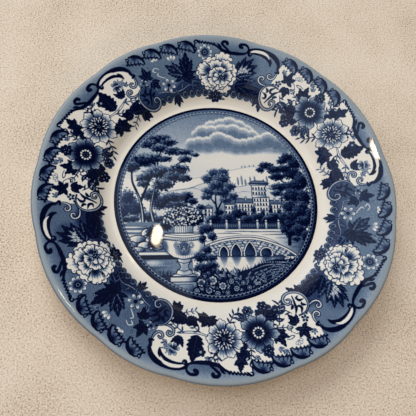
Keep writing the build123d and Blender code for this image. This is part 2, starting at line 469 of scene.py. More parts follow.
def frame_half(ink, s):
    """The scrolls, frill and acanthus leaves of half a section's frame, from s degrees."""
    # leaf bodies of the acanthus frill
    for n in range(4):
        unit = at_rim(s + ACANTHUS_START + n * ACANTHUS_PITCH, 112)
        back = smooth([(0.2, -0.6), (0.5, 2.6), (2.4, 5.6), (5.6, 7.6), (9.2, 8.3)])
        front = [(10.9, 7.2), (10.5, 6), (12.3, 5.6), (11.9, 4.2), (13.6, 3.6), (13.2, 2.2), (11.8, 3),
                 (11.5, 1.4), (10, 2.4), (9.4, 0.7), (8, 2.1), (7, 0.2), (5.6, 1.5), (4.5, -0.5),
                 (3.2, 0.8), (2, -1.1)]
        ink.fill(unit(np.vstack([back, front])), 0.52, DARK, 0.75, root=unit([(5.6, 6.6), (7, 2.4)]),
                 root_tone=0.92)
        ink.line(unit(back), (0.6, 1.7, 2.5, 1.9, 0.7), DARK)
        for low, high in (
            ((3.4, 0.6), (3.6, 3.4)), ((6, 1.2), (6.2, 4.2)), ((8.6, 2), (8.6, 4.9)),
            ((10.8, 3.2), (10.6, 5.2)),
        ):
            ink.line(unit(smooth([low, (low[0] + 0.9, (low[1] + high[1]) / 2), high])), (0.5, 1, 0.3), 0.9)
        ink.line(unit(smooth([(10.9, 4.6), (12, 6.4), (11.6, 7.6), (10.9, 7.2)])), (0.6, 0.7, 0.5), DARK)
    # small frill
    teeth = []
    for n in range(7):
        teeth += [(29.4 + 1.05 * n, 116.2 + 0.38 * n), (30 + 1.05 * n, 118 + 0.32 * n)]
    frame_lines(ink, s, DARK, [(*t, 1.1) for t in teeth], steps=2)
    frame_lines(ink, s, DARK,
                [(35.3, 117.8, 0.6), (35.7, 119.6, 0.9), (36.6, 120.4, 1), (37.2, 119.2, 0.9),
                 (36.5, 118.2, 0.8)],
                [(36.9, 119, 0.8), (37.2, 116, 0.9), (36.7, 114, 0.9), (37.7, 111.2, 1.2)])
    # C-scroll with its bare crescent, and the swoop with two curls
    frame_lines(ink, s, DARK, C_SCROLL,
                [(7.4, 109.4, 0.9), (8.1, 112.6, 2.9), (10.3, 114.6, 2.3), (13.3, 115.2, 1.7),
                 (15.8, 114.4, 1.3)])
    frame_lines(ink, s, 0,
                [(8.6, 114.2, 0.5), (9.9, 116.4, 1.7), (12.2, 117.1, 2.2), (14.8, 116.4, 1.8),
                 (16.5, 114.6, 0.5)])
    ink.fill(at_rim(s + 16.2, 113.4)(circle(1.75, 14)), DARK)
    ink.dab(*at_rim(s + 16, 113.8)([(0, 0)])[0], 0.45, 0.45, 0, 0.45)
    frame_lines(ink, s, DARK, SWOOP,
                [(17.4, 114.6, 0.7), (17.1, 117.4, 1.4), (18.3, 119.6, 1.8), (20.1, 119.1, 2.1),
                 (20.3, 117.6, 2.5), (19.6, 117.1, 2.3)],
                [(24.4, 113.4, 1.4), (26, 115.9, 1.8), (27, 118, 2), (26.4, 119.6, 2.1), (25.3, 119.3, 2.4),
                 (25.1, 118.2, 2.3)],
                [(27.2, 114.4, 0.9), (27.9, 116.6, 1.4), (28.7, 117.6, 0.8)],
                [(3.9, 109.2, 1), (3.3, 107.2, 1.7), (4.6, 106.6, 1)])


def cartouche(ink, s, pale):
    """The two curled leaves that open a panel, and the round scroll under them."""
    for run in (
        [(4.6, 110.2), (3.9, 106.5), (4, 103), (4.9, 100.8), (6.2, 100.6), (6.9, 102.3), (6.3, 103.8),
         (5.5, 103.2)],
        [(3, 98.2), (5, 95.6), (7.6, 94.6), (9.6, 95.8), (10.1, 98.4), (9.2, 100.3), (8, 99.8), (8.1, 98.2),
         (8.9, 97.9)],
    ):
        path = polar(smooth(run) + (s, 0))
        scroll(ink, path, 2, 0.95, pale)
    round_scroll = at_rim(s + 2.3, 88.8)
    ink.fill(round_scroll(circle(7.4, 28)), 0.74 if pale > 0.2 else 0)
    ring = smooth([(-3.4, 7.6), (1.2, 8.2), (5.6, 6), (7.7, 1), (6.2, -4.6), (1.8, -7.9), (-3, -7.8),
                   (-5.8, -5), (-4.6, -2), (-2.2, -2.2), (-1.8, -4.2), (-3.2, -4.8)])
    scroll(ink, round_scroll(ring), 2.1, 0.95, 0.34)
    for run in (
        [(-1, 7.2), (1.2, 4.8), (0.6, 2.6), (-1.2, 2.8)], [(6, 0.6), (3.2, -0.2), (2.6, -2.4), (4.4, -3)],
        [(-4.4, 5.4), (-2, 3), (-0.6, -0.4), (1.4, -5)], [(4.9, 4.6), (3, 3), (3.6, 1.6)],
        [(-5, 1.8), (-3, 0.6), (-2.6, -0.8)],
    ):
        ink.line(round_scroll(smooth(run)), (0.6, 2, 1.5, 0.7), 0.95)


def border_grounds(ink):
    """The tinted panel and the tint outside the frame, which is paler toward the edge."""
    tinted = [(a, 82.9 + 0.45 * math.cos(a * 2.1)) for a in np.arange(64, 124.6, 0.6)]
    tinted += [(a, 121.5) for a in np.arange(124, 63.9, -1)]
    ink.fill(polar(tinted), TINT)
    for s in (0, 60):
        outer_ground(ink, s)
    away = np.hypot(ink.x, ink.y)
    ink.ink *= np.interp(away, [112, 116, 118.5, 121], [1, 0.88, 0.74, 0.62])


def tinted_panel_back(ink):
    """Shade behind the flowers, and waves along the inner edge of the tint."""
    for angle, radius, wide, high, tone in (
        (71, 90, 11, 8, 0.86), (76, 86, 14, 4.5, 0.9), (101, 88, 11, 6, 0.86), (109, 86, 16, 4, 0.84),
        (75, 104, 7, 8, 0.66), (116, 99, 9, 8, 0.6),
    ):
        ink.fill(at_rim(angle, radius)(circle(high, 22, wide / high)), tone, strength=0.7, soft=3.5)
    for angle in (69, 72.6, 76.2, 79.8, 83.4, 94.6, 98, 101.4, 104.9, 113.6, 117.2, 120.8):
        wave = at_rim(angle, 83.2)
        ink.fill(wave(circle(2.5, 18)), 0.58, 0.96, 0.5)
        ink.line(wave(curl(1.5, 120, 430, 0.15)), (0.5, 0.6, 0.9), 0.95)


def tinted_panel_leaves(ink):
    feather = at_rim(79.6, 97.6)
    spray(ink, feather, ((78, 14.5, 6.2), (58, 16.5, 6.6), (38, 16.6, 6.2), (18, 14.4, 5.4),
                         (-4, 9.5, 4.6)), DARK, 0.74, 7)
    for turn, length in ((66, 11.4), (50, 12), (33, 11.4), (14, 9.4)):
        leaf(ink, within(feather, -0.6, -1.8, turn), length, 3.3, 4, 0.34, 0, 0.6, rim=0.7)
    spray(ink, within(feather, 0.6, -3), ((92, 15, 6.4), (70, 13, 5.8), (114, 12.5, 5.4)), 0.92, 0.5, 6)
    spray(ink, at_rim(80, 89.4), ((96, 18, 8.4), (116, 15.5, 7), (74, 13, 6)), DARK, 0.76)
    sprays(ink, DARK, 0.78,
           (66.6, 88.6, ((166, 12, 6.6), (196, 10, 5), (142, 10, 5.6), (225, 8, 4), (-84, 11, 5.4),
                         (-104, 9, 4.4))),
           (102.4, 95.6, ((8, 17, 8.4), (30, 12.5, 6), (-12, 13.5, 6.2))))
    spray(ink, at_rim(103.6, 95.6), ((-52, 15.8, 8), (-32, 13, 6.2), (-72, 12.4, 5.8)), 0.93, 0.55)
    spray(ink, at_rim(104.6, 95), ((78, 11.5, 5.6), (100, 10.5, 5), (128, 9, 4.4), (-112, 6.5, 3.6)), DARK,
          0.82)
    spray(ink, at_rim(100.2, 91.5), ((150, 8.5, 4.6), (186, 7.6, 4.2), (110, 7, 4)), 0.9, 0.6)


def tinted_panel_flowers(ink):
    floret(ink, at_rim(93.6, 111.2), 9, 5.9, 3.1, 0, 0.85, 0.95, 0.75, heart_size=0.34)
    ink.line(at_rim(93.6, 111.2)(circle(1.1, 14)), (0.35, 0.35), 0.35)
    for turn in (-28, 6, 38):
        lobe = within(at_rim(107.2, 106.6), turn=turn)
        ink.fill(lobe(petal(5.6, 2.7, 1, 0)), 0, 0.7, 0.3, root=lobe([(0, 1), (0, 5)]), root_tone=0.5)
    for turn in (-24, 2, 26):
        leaf(ink, within(at_rim(103.2, 109.3), turn=turn), 5.2, 2, 2, 0.2, 0.72, 0.3)
    for turn in (-60, -20, 20, 60):
        lobe = within(at_rim(113.6, 110.6), turn=turn)
        ink.fill(lobe(petal(3, 1.8, 1, 0)), 0, 0.6, 0.25)
    peony(ink, at_rim(87.8, 95.4, stretch=1.13))
    spray(ink, at_rim(89.2, 80.4), ((74, 8.6, 2.8), (-74, 8.6, 2.8), (100, 7.6, 2.4), (-98, 7.6, 2.4)), 0.9,
          0.4, 3)
    floret(ink, at_rim(89.2, 80.7, stretch=1.25), 7, 3.9, 2.5, 0.86, 0.97, 0.97)
    dots(ink, at_rim(89.2, 80.7), 5, 1.4, 0.3, 0.3)


def tinted_panel_end(ink):
    """The vine, leaves and small flowers at the right end of the tinted panel."""
    vine = polar(smooth([(98.5, 87), (102, 88.6), (106, 86.4), (110.5, 86), (114.5, 88.2), (119, 88.8),
                         (123, 87.4)]))
    ink.line(vine, (0.9, 1.1, 1.1, 0.7), 0.93)
    ink.line(vine, (0.1, 0.42, 0.42, 0.1), 0.2)
    for angle, radius, turn in (
        (109.2, 87.2, 160), (112.6, 86.8, 20), (116.2, 89.4, -20), (118.6, 87.6, 200), (106, 87.2, 20),
    ):
        leaf(ink, at_rim(angle, radius, turn), 4.4, 2.4, 3, 0.25, 0.9, 0.5)
    floret(ink, at_rim(111.6, 91.8), 6, 5.2, 2.6, 0, 0.5, 0.95, 0.75)
    spray(ink, at_rim(109.2, 83.8), ((180, 7.2, 4.2), (214, 6, 3.2), (146, 6, 3.2)), DARK, 0.82, 4)
    for turn in (160, 200):
        ink.line(within(at_rim(109.2, 82), turn=turn)([(0, 0), (0.3, 4.5)]), (0.5, 0.2), 0.8)
    sprays(ink, DARK, 0.82,
           (119.2, 101.6, ((0, 8.4, 5.2), (48, 6.6, 4.2), (-50, 6.6, 4.2), (110, 4.6, 3.4),
                           (-110, 4.6, 3.4))),
           (118, 98.2, ((150, 7.8, 5), (196, 7.2, 4.4), (104, 6, 4))))
    floret(ink, at_rim(121.6, 99.4), 5, 3.2, 1.9, 0.05, 0.5, 0.95, 0.8)
    for run in (
        [(113.2, 104.6), (114.6, 106.2), (115.8, 104.6), (114.8, 103.2)],
        [(111.9, 97.2), (113.4, 98.8), (114.6, 100.8), (114, 102.2)],
    ):
        ink.line(polar(smooth(run)), (0.35, 0.6, 0.5), 0.08)
    for angle, radius in ((113, 95.6), (115.4, 94.6), (116.9, 108.4), (99.4, 106.8), (110, 112.4)):
        ink.dab(*polar([(angle, radius)])[0], 0.75, 0.75, 0, 0.9)
        ink.dab(*polar([(angle, radius)])[0], 0.35, 0.35, 0, 0.15)


def white_panel_sprigs(ink):
    stem = polar(smooth([(12, 97), (15.4, 95), (19, 94.3), (23.5, 95.8)]))
    ink.line(stem, (0.8, 1.7, 1.7, 1), 0.9)
    ink.line(stem, (0.1, 0.95, 0.95, 0.3), 0.05)
    for angle, radius, turn in (
        (47.6, 108.4, -30), (49.6, 110.8, 20), (57.4, 110.6, -40), (61.6, 108, 30), (39.8, 109.2, 10),
        (9, 104.4, 60), (62.2, 93.6, 100), (24, 108.6, 50),
    ):
        spray(ink, at_rim(angle, radius, turn), ((-34, 3.6, 1.9), (0, 4.4, 2), (34, 3.6, 1.9)), 0.8, 0.3, 2)
    for angle, radius, path, size, tone in (
        (30, 87.4, [(2.5, 0.5), (4.6, -3), (6.6, -6.2), (9.8, -7.8)], 1.7, 0.86),
        (47, 93, [(1, 0), (6, -1.6), (10.5, -5), (13.5, -9.6)], 1.9, 0.9),
        (53.6, 88.6, [(-3.6, 7), (-0.6, 2), (2, -1.8), (3.8, -5.8)], 1.9, 0.86),
        (56.6, 88.4, [(2.6, 4.2), (0.4, 1), (-0.4, -2.4)], 1.6, 0.86),
        (25.6, 104.2, [(0.6, 0), (-0.6, 3.2), (-2.2, 6.2)], 1.5, 0.88),
        (26.2, 104.2, [(0, 0), (0.9, 3.6), (0.6, 6.8)], 1.4, 0.88),
        (37.9, 104, [(0.6, 0), (0.2, 3.4), (-0.8, 6)], 1.4, 0.88),
        (10.6, 92.4, [(5.4, 3.6), (1.4, 2), (-2.4, 0.4), (-5, -1.2)], 1.6, 0.72),
        (17.6, 91.6, [(3.6, 2), (0.6, 0.2), (-1.6, -1.6)], 1.5, 0.8),
        (13.8, 81.8, [(-3, 1.6), (0.6, -0.2), (3.8, -1.8)], 1.3, 0.7),
        (52, 98.2, [(-4.6, -1.8), (-1, -0.6), (2.4, 0.8), (4.4, 2.6)], 1.1, 0.85),
    ):
        sprig(ink, at_rim(angle, radius), path, size, tone)


def white_panel_leaves(ink):
    leaf(ink, at_rim(18.9, 95.6, 4), 16.8, 12, 6, 0.30, DARK, 0.8)
    spray(ink, at_rim(12.6, 98.6), ((6, 8.6, 4.6), (40, 7.2, 3.8), (-30, 7.4, 3.8)), DARK, 0.82, 4)
    floret(ink, at_rim(20.8, 105.8), 6, 3.3, 2.4, 0.85, 0.97, 0.35, first=20)
    floret(ink, at_rim(11.4, 107.6), 6, 4.4, 2.6, 0.22, 0.9, 0.95, 0.85, first=12)
    spray(ink, at_rim(10.4, 107.2), ((110, 5.6, 2.2), (70, 5.8, 2), (-70, 5.6, 2), (20, 4.8, 1.8)), 0.7,
          0.3, 3)
    sprays(ink, DARK, 0.82,
           (34.2, 110.4, ((14, 7.4, 5.2), (62, 5.6, 4.4), (-50, 5, 4), (-160, 7.4, 5.6), (-130, 6.4, 4.6),
                          (160, 6, 4.4))),
           (36.3, 104.8, ((-14, 5.6, 4.4), (180, 5.4, 4.4), (120, 4.6, 3.8))),
           (49.2, 99, ((-8, 10.8, 6), (30, 7.8, 4.6), (-46, 8.8, 5), (-78, 6.2, 4))),
           (58.4, 104.6, ((0, 7.6, 5), (54, 6.4, 4.4), (-56, 6.4, 4.4), (118, 5.2, 3.8), (-118, 5.2, 3.8))),
           (57.6, 100.2, ((168, 8.2, 5.4), (208, 6.6, 4.4), (128, 6, 4.2))))
    floret(ink, at_rim(61.4, 100), 5, 2.6, 1.7, 0.9, 0.97, 0.2)
    for run in (
        [(51.4, 106), (53, 106.6), (54.4, 105.8), (53.4, 104.8), (51.8, 105.2)],
        [(54.6, 103.4), (55.6, 105.4), (57.2, 105.2), (57, 103.8), (56, 103.8)],
        [(53.4, 99.2), (53.8, 101.2), (55.4, 101), (55.2, 99.6), (54.4, 99.8)],
    ):
        ink.line(polar(smooth(run)), (0.35, 0.55, 0.45), 0.88)
    for turn in (-70, -30, 10, 50):
        lobe = within(at_rim(54.6, 109), turn=turn)
        ink.fill(lobe(petal(3.4, 1.9, 1, 0)), 0.05, 0.75, 0.28)
    # along the inner edge
    sprays(ink, DARK, 0.8,
           (13.6, 86.6, ((64, 10.6, 7), (-70, 9, 6.4), (92, 12.5, 6.6), (108, 10.4, 5.6), (-98, 8, 5.6),
                         (28, 5.6, 4.8), (-30, 5.6, 4.8))),
           (8.6, 83.8, ((146, 7.6, 5.2), (178, 7.2, 5.2), (112, 6, 4.4), (205, 6.2, 4.4))),
           (22.6, 85.4, ((88, 7.4, 6), (-86, 7.8, 6.2), (122, 8, 5.6), (150, 6.6, 4.8), (-124, 6.6, 4.6),
                         (40, 6.2, 5), (-36, 6.6, 5.4))))


def white_panel_flowers(ink):
    """The flowers that hang at the inner edge, and the two open ones."""
    for angle, radius, length, tone in (
        (41.4, 80.6, 3.9, 0.62), (49.1, 80.6, 4.1, 0.9), (51.4, 85.8, 5, 0.86), (46.2, 84.4, 3.6, 0.8),
    ):
        floret(ink, at_rim(angle, radius), 6, length, 3, tone, 0.92, 0.97, first=angle * 7)
        dots(ink, at_rim(angle, radius), 4, 0.38 * length, 0.32, 0.25)
    floret(ink, at_rim(41.2, 84.8), 4, 2.6, 1.9, 0.05, 0.5, 0.9, first=45)
    spray(ink, at_rim(46.6, 88.6), ((-100, 10.5, 5.4), (-140, 9, 5), (165, 8, 4.6), (-76, 9, 4.6)), DARK,
          0.78)
    spray(ink, at_rim(38.8, 86.4), ((150, 7, 3.8), (190, 6, 3.6), (110, 6.4, 3.4)), 0.9, 0.6, 4)
    daisy(ink, at_rim(42.6, 95.8), 0.34, 0.97, True)
    daisy(ink, at_rim(29, 97), 0, 0.84, False)
    floret(ink, at_rim(43.8, 108.2), 7, 4.3, 2.7, 0.84, 0.97, 0.97, first=9)
    dots(ink, at_rim(43.8, 108.2), 5, 1.5, 0.3, 0.3)


def border_design(ink):
    for part in (
        border_grounds, tinted_panel_back, tinted_panel_leaves, tinted_panel_flowers, tinted_panel_end,
        white_panel_sprigs, white_panel_leaves, white_panel_flowers,
    ):
        part(ink)
    for s, pale in ((0, 0.34), (60, 0.12)):
        cartouche(ink, s, pale)
        frame_half(ink, s)


def border_print(r0, r1, a0, a1, spacing):
    """A polar grid for one section of the border, from radius r0 to r1 and from a0 to a1 degrees."""
    radii = np.linspace(r0, r1, round((r1 - r0) / spacing) + 1)
    angles = np.linspace(a0, a1, round((a1 - a0) * math.pi / 180 * (r0 + r1) / 2 / spacing) + 1)
    rr, aa = np.meshgrid(radii, np.radians(angles), indexing="ij")
    middle = (a0 + a1) / 2
    dr, da = radii[1] - radii[0], angles[1] - angles[0]

    def locate(points, reach):
        r = np.hypot(points[:, 0], points[:, 1])
        a = (np.degrees(np.arctan2(points[:, 1], points[:, 0])) - middle + 180) % 360 - 180 + middle
        a = a[r > 1]
        if a.max() - a.min() > 180:
            return None
        swing = math.degrees(reach / r0)
        i0, i1 = int((r.min() - reach - r0) / dr), int((r.max() + reach - r0) / dr) + 2
        j0, j1 = int(math.floor((a.min() - swing - a0) / da)), int((a.max() + swing - a0) / da) + 2
        i0, j0 = max(i0, 0), max(j0, 0)
        i1, j1 = min(i1, len(radii)), min(j1, len(angles))
        if i0 >= i1 or j0 >= j1:
            return None
        return slice(i0, i1), slice(j0, j1)

    return Print(rr * np.cos(aa), rr * np.sin(aa), locate, (0, 120, -120)), radii, angles


# ---------------------------------------------------------------- centre picture
PICTURE = 67.3  # mm, where the picture meets its edging
CANVAS_SPACING, CANVAS_HALF = 0.25, 73  # mm
SUN = (-0.4, 0.75)
THREAD_LOOPS = 156


def foliage(ink, masses, dark, light, grain=1):
    """Ragged leafy masses (x, y, half width, half height), with leaves that are paler toward the sun."""
    for x0, y0, wide, high in masses:
        wide, high = 0.9 * wide, 0.9 * high
        count = int(4.2 * wide * high / grain**2)
        ink.dab(x0, y0, wide * 0.8, high * 0.74, 0, dark, 1, 1.4)
        for n in range(count):
            far, a = math.sqrt((n + 0.5) / count) * 1.05 + stray(0.07), GOLDEN * n + stray(0.4)
            lit = far * (math.cos(a) * SUN[0] + math.sin(a) * SUN[1]) + stray(0.2)
            tone = dark - (dark - light) * min(1, max(0, 0.15 + 1.3 * lit))
            size = grain * draw(0.42, 0.85)
            ink.dab(x0 + wide * far * math.cos(a), y0 + high * far * math.sin(a), size, 0.6 * size,
                    draw(-70, 70), tone, 0.95)


def box(x0, y0, x1, y1):
    return [(x0, y0), (x1, y0), (x1, y1), (x0, y1)]


def stone(ink, x0, y0, x1, y1, tone, edge, shade):
    """A block with a lit face, a dark edge line and a shaded lower right."""
    ink.fill(box(x0, y0, x1, y1), tone, edge, 0.3, root=[(x1, y0), ((x0 + x1) / 2, y1)], root_tone=shade)


def sky_and_clouds(ink):
    height = np.clip((ink.y - 14) / 54, 0, 1)
    ink.ink[:] = 0.03 + 0.47 * height**0.7 + 0.05 * height * np.sin(ink.y * 2 * math.pi / 0.85)
    haze = [(-8, 33, 34, 9), (16, 28, 30, 9), (34, 34, 20, 6)]
    for x, y, wide, high in haze:
        ink.dab(x, y, wide, high, 6, 0.05, 0.75, 9)
    rows = ([(4.5, 58, 5.6), (11, 59.2, 6), (17.6, 57.4, 5.4), (-2.2, 56.6, 5.2), (23, 53.6, 5.6)],
            [(-9.2, 52.8, 5), (-13.2, 50.6, 3.6), (27.6, 49.8, 5), (20.4, 50.8, 6), (13.4, 53.4, 6),
             (-2.6, 52, 6), (5.4, 52.4, 6.6)],
            [(-17.4, 43.2, 4), (51.2, 42.4, 4.4), (-12, 43.6, 5), (46.2, 45.4, 5.4), (-5.6, 43.4, 5.4),
             (40, 47.4, 6), (33.4, 45, 5.6), (27.4, 43.6, 5.2), (8.8, 44.6, 5.8), (15.2, 42.4, 5.2),
             (21.2, 42.6, 5), (2.6, 46.2, 6.6)])
    for row in rows:
        for down, fade, tone, strength in ((0, 1.5, 0, 0.95), (1.3, 1.6, 0.40, 0.85), (3.4, 3.4, 0.62, 0.7)):
            away = np.full(ink.x.shape, 1e9)
            for x, y, size in row:
                np.minimum(away, np.hypot((ink.x - x) / 1.12, ink.y - y + down) - size * (1 - 0.06 * down),
                           out=away)
            away += 0.35 * np.sin(1.9 * ink.x + 0.8 * ink.y) * np.sin(1.4 * ink.y - 0.9 * ink.x)
            ink.lay(np.s_[:, :], strength * np.clip(0.5 - away / fade, 0, 1), tone)
    for x, y, wide in ((-10, 37.6, 11), (4, 38.6, 12), (20, 36.8, 12), (36, 38.4, 13), (47, 37.4, 9)):
        ink.dab(x, y, wide, 1.7, 0, 0.46, 0.6, 2.2)


def hills(ink):
    far = smooth([(-40, 11.5), (-30, 14.6), (-17, 15.8), (2, 20.4), (18, 24), (27, 25.4), (34, 23.6),
                  (44, 21), (60, 16)])
    ink.fill(np.vstack([far, [(60, 0), (-40, 0)]]), 0.05, 0.42, 0.35, root=[(10, 4), (10, 24)],
             root_tone=0.02)
    for x in (18.6, 21, 24.2, 27.4):
        ink.dab(x, 25.2 + 0.1 * (x - 20), 0.5, 0.8, 0, 0.5)
    near = smooth([(-44, 3), (-32, 6.6), (-20, 8.6), (-8, 12.6), (4, 12), (14, 9.6), (30, 12.6), (44, 9),
                   (56, 4)])
    ink.fill(np.vstack([near, [(56, -24), (-44, -24)]]), 0.14, 0.6, 0.4, root=[(4, -12), (4, 10)],
             root_tone=0.5)
    for k in range(9):
        x = -30 + 9 * k
        slope = smooth([(x, 6.2 + 1.4 * math.sin(k)), (x + 4, 7.4 + 1.4 * math.sin(k)),
                        (x + 9, 5.8 + 1.2 * math.sin(k + 1))])
        ink.line(slope, (0.15, 0.6, 0.15), 0.5)


def house(ink):
    """A plain country house of stacked blocks, with rows of windows, seen across its park."""
    for n, x in enumerate((15.2, 18, 20.6, 24.4, 27.6, 34, 36.6)):
        tall = 5.2 + 1.2 * math.sin(2.2 * n)
        ink.dab(x, 10.6 + tall * 0.6, 0.75, tall * 0.62, 4, 0.62)
        ink.dab(x - 0.25, 10.9 + tall * 0.6, 0.28, tall * 0.42, 4, 0.32)
    roofs = [
        [(5, -2.6), (11.2, 3.6), (17.4, -0.6), (17.4, -5), (5, -5)],
        [(12, -2), (13, 1.2), (46, -0.6), (47.4, -3.8), (12, -4.6)],
    ]
    for roof in roofs:
        ink.fill(roof, 0.62, 0.95, 0.45)
    walls = (
        (4.6, -16, 12.2, -3.4), (12, -16, 26, -2.4), (37, -15.4, 47.6, -3.2), (25, -16, 37.4, 2),
        (24.6, 1, 35.4, 11.6), (23.4, 10.6, 36.8, 12.2), (-9.6, -14, -4, -6.4),
    )
    for x0, y0, x1, y1 in walls:
        ink.fill(box(x0, y0, x1, y1), 0.08, 0.95, 0.5, root=[(x1, y0), (x0, y0)], root_tone=0.55)
        ink.line([(x0, y1 - 0.5), (x1, y1 - 0.5)], (0.5, 0.5), 0.8)
    ink.fill([(21.6, 12), (26.4, 14.4), (33.8, 14.4), (38.6, 12)], 0.6, 0.92, 0.4)
    for x0, x1, ys in (
        (5.8, 11.6, (-6, -9.6)), (13.4, 25, (-4.8, -7.6, -10.8)), (26.6, 37, (-0.4, -3.6, -7.2, -10.8)),
        (38.6, 47, (-5.4, -8.6)), (26, 34.6, (8.4, 4.8)), (-8.6, -4.4, (-8.4, -11.2)),
    ):
        for y in ys:
            ink.line([(x0 - 0.9, y - 1.35), (x1 + 0.3, y - 1.35)], (0.34, 0.34), 0.8)
            for n, x in enumerate(np.arange(x0, x1, 2.1)):
                ink.dab(x, y - 0.2 * (n % 2), 0.56, 1 + 0.15 * (n % 3), 0, 0.96)
                ink.dab(x + 0.85, y, 0.28, 0.9, 0, 0)
    ink.fill([(-10.4, -6.2), (-6.8, -3.6), (-3.2, -6.2)], 0.5, 0.85, 0.35)
    foliage(ink, [(12.4, -6.4, 1.3, 3.4), (25.4, -8, 1.5, 3.6), (31.8, -10, 1.7, 2.8), (37.6, -7.6, 1.4, 4),
                  (44, -9.4, 1.8, 2.8), (19, -10.6, 2, 2.6)], 0.97, 0.6, 0.9)
    for x, y, size in ((14, 2.6, 0.7), (20, 1.4, 0.7), (41, 0.6, 0.7), (45, 0.2, 0.7)):
        ink.fill(box(x - size, y - 2.6, x + size, y + 0.8), 0.3, 0.8, 0.3)


def park(ink):
    """Hedge, balustrade, lawn and the path."""
    ink.fill([(-9, -22), (60, -22), (60, -15.4), (-9, -14.6)], 0.84, soft=1.6)
    foliage(ink, [(13.4, -10.8, 5, 5), (28, -13.4, 5, 3.8), (6.4, -13.8, 4.6, 3.4), (20.6, -14.6, 4.2, 2.8),
                  (39.4, -13.4, 5.4, 4), (34, -15, 3.6, 2.6), (-2.6, -14.4, 5, 3.6), (47, -13.2, 4.4, 4.6),
                  (0.6, -9.6, 3.4, 2.8)], 0.97, 0.62, 0.85)
    ink.fill(box(-8, -21.8, 60, -17.2), 0.88, 0.97, 0.35)
    for x in np.arange(-6, 58, 1.25):
        ink.dab(x, -19.4, 0.26, 1.4, 0, 0.45)
    for x, high in ((-5.8, 3.4), (5.4, 3.6), (14.4, 5.4), (27.4, 3.8), (33.6, 3.4), (42.6, 3.8), (52, 3.4)):
        stone(ink, x - 0.95, -22.2, x + 0.95, -18.6 + high * 0.5, 0.05, 0.85, 0.4)
        ink.fill(at(x, -17.7 + high * 0.5)(circle(0.95, 12)), 0.1, 0.85, 0.28)
    lawn = smooth([(-10, -22.4), (10, -21.8), (34, -21.8), (62, -22.6), (66, -30), (60, -42), (50, -38.5),
                   (36, -29.6), (20, -26.6), (0, -28.4), (-10, -31)], True)
    ink.fill(lawn, 0.06, 0.7, 0.4, root=[(66, -34), (34, -26)], root_tone=0.8)
    for n, (x0, x1, y) in enumerate(((4, 30, -23.6), (22, 52, -24.2), (-2, 16, -25.2), (30, 58, -26),
                                     (40, 62, -28.4), (46, 62, -31.6), (50, 61, -35))):
        run = smooth([(x0, y), ((x0 + x1) / 2, y + 0.35 * math.sin(n)), (x1, y - 0.3)])
        ink.line(run, (0.2, 0.75, 0.2), 0.7)


def bridge(ink):
    """An arched stone bridge, its water and what is mirrored in it."""
    pool = smooth([(-12, -38), (2, -39.4), (30, -40.4), (46, -41.6), (38, -47), (26, -50.5), (12, -53),
                   (-4, -50), (-14, -46)], True)
    ink.fill(pool, 0.04, root=[(52, -43), (18, -46)], root_tone=0.75)
    deck = [(-11, -34), (-4.4, -31.2), (5.4, -28.8), (17.4, -27.8), (26.4, -28.4), (36.4, -31),
            (46.6, -35.4), (54.4, -40.6)]
    top = smooth(deck)
    under = [(54.4, -41.8), (-11, -40.6)]
    ink.fill(np.vstack([top, under]), 0.72, 0.95, 0.45)
    for row in range(5):
        for k in range(24):
            x = -9 + 2.5 * k + 1.2 * (row % 2)
            y = float(np.interp(x, [p[0] for p in deck], [p[1] for p in deck])) - 1.9 - 1.9 * row
            if y > -41:
                ink.dab(x + 0.4 * math.sin(3.7 * k + 2 * row), y + 0.1, 1.15, 0.72,
                        -5 + 14 * math.sin(2.9 * k + row), 0.02 + 0.3 * ((7 * row + 5 * k) % 11 / 11), 0.95)
    ink.line(top + (0, -0.9), (1, 1.3, 1.3, 1), 0.03)
    ink.line(top, (0.5, 0.6, 0.6, 0.5), 0.93)
    ink.line(top + (0, -1.75), (0.3, 0.5, 0.5, 0.3), 0.85)
    for x, half, crown in ((2.6, 2.7, -34.4), (11.2, 3.3, -32.8), (20.9, 3.7, -31.6), (32.4, 3.7, -35.6)):
        arch = [(-half, -40.9), (-half, -38.2), (-0.62 * half, 0.45 * crown - 0.55 * 38.2 + 0.8),
                (0, crown), (0.62 * half, 0.45 * crown - 0.55 * 38.2 + 0.8), (half, -38.2), (half, -40.9)]
        shape = smooth(arch) + (x, 0)
        ink.fill(shape, 0, 0, 0.3)
        ink.line(shape, (2.2, 2.2), 0.93)
        ink.line(shape, (1.4, 1.4), 0.02)
        ink.fill(shape, 0.72, 0.97, 0.5, root=[(x + half, crown), (x - half, -40.5)], root_tone=0.97)
        mirror = smooth([(x - half, -41.2), (x - 0.8 * half, -44), (x, -47.4 - 0.3 * half),
                         (x + 0.8 * half, -44), (x + half, -41.2)])
        ink.fill(mirror, 0.25, root=[(x, -40.6), (x, -48.4)], root_tone=0.86, soft=0.9, strength=0.85)
    for n in range(16):
        y = -42.4 - 0.72 * n
        x0 = -8 + 6 * math.sin(1.7 * n)
        ink.line([(x0, y), (x0 + 14 + 5 * math.cos(n), y + 0.1)], (0.1, 0.45, 0.1), 0.55, 0.7)
    ink.line([(-11, -41.2), (24, -41.6), (48, -42.4)], (0.5, 0.6, 0.4), 0.9)


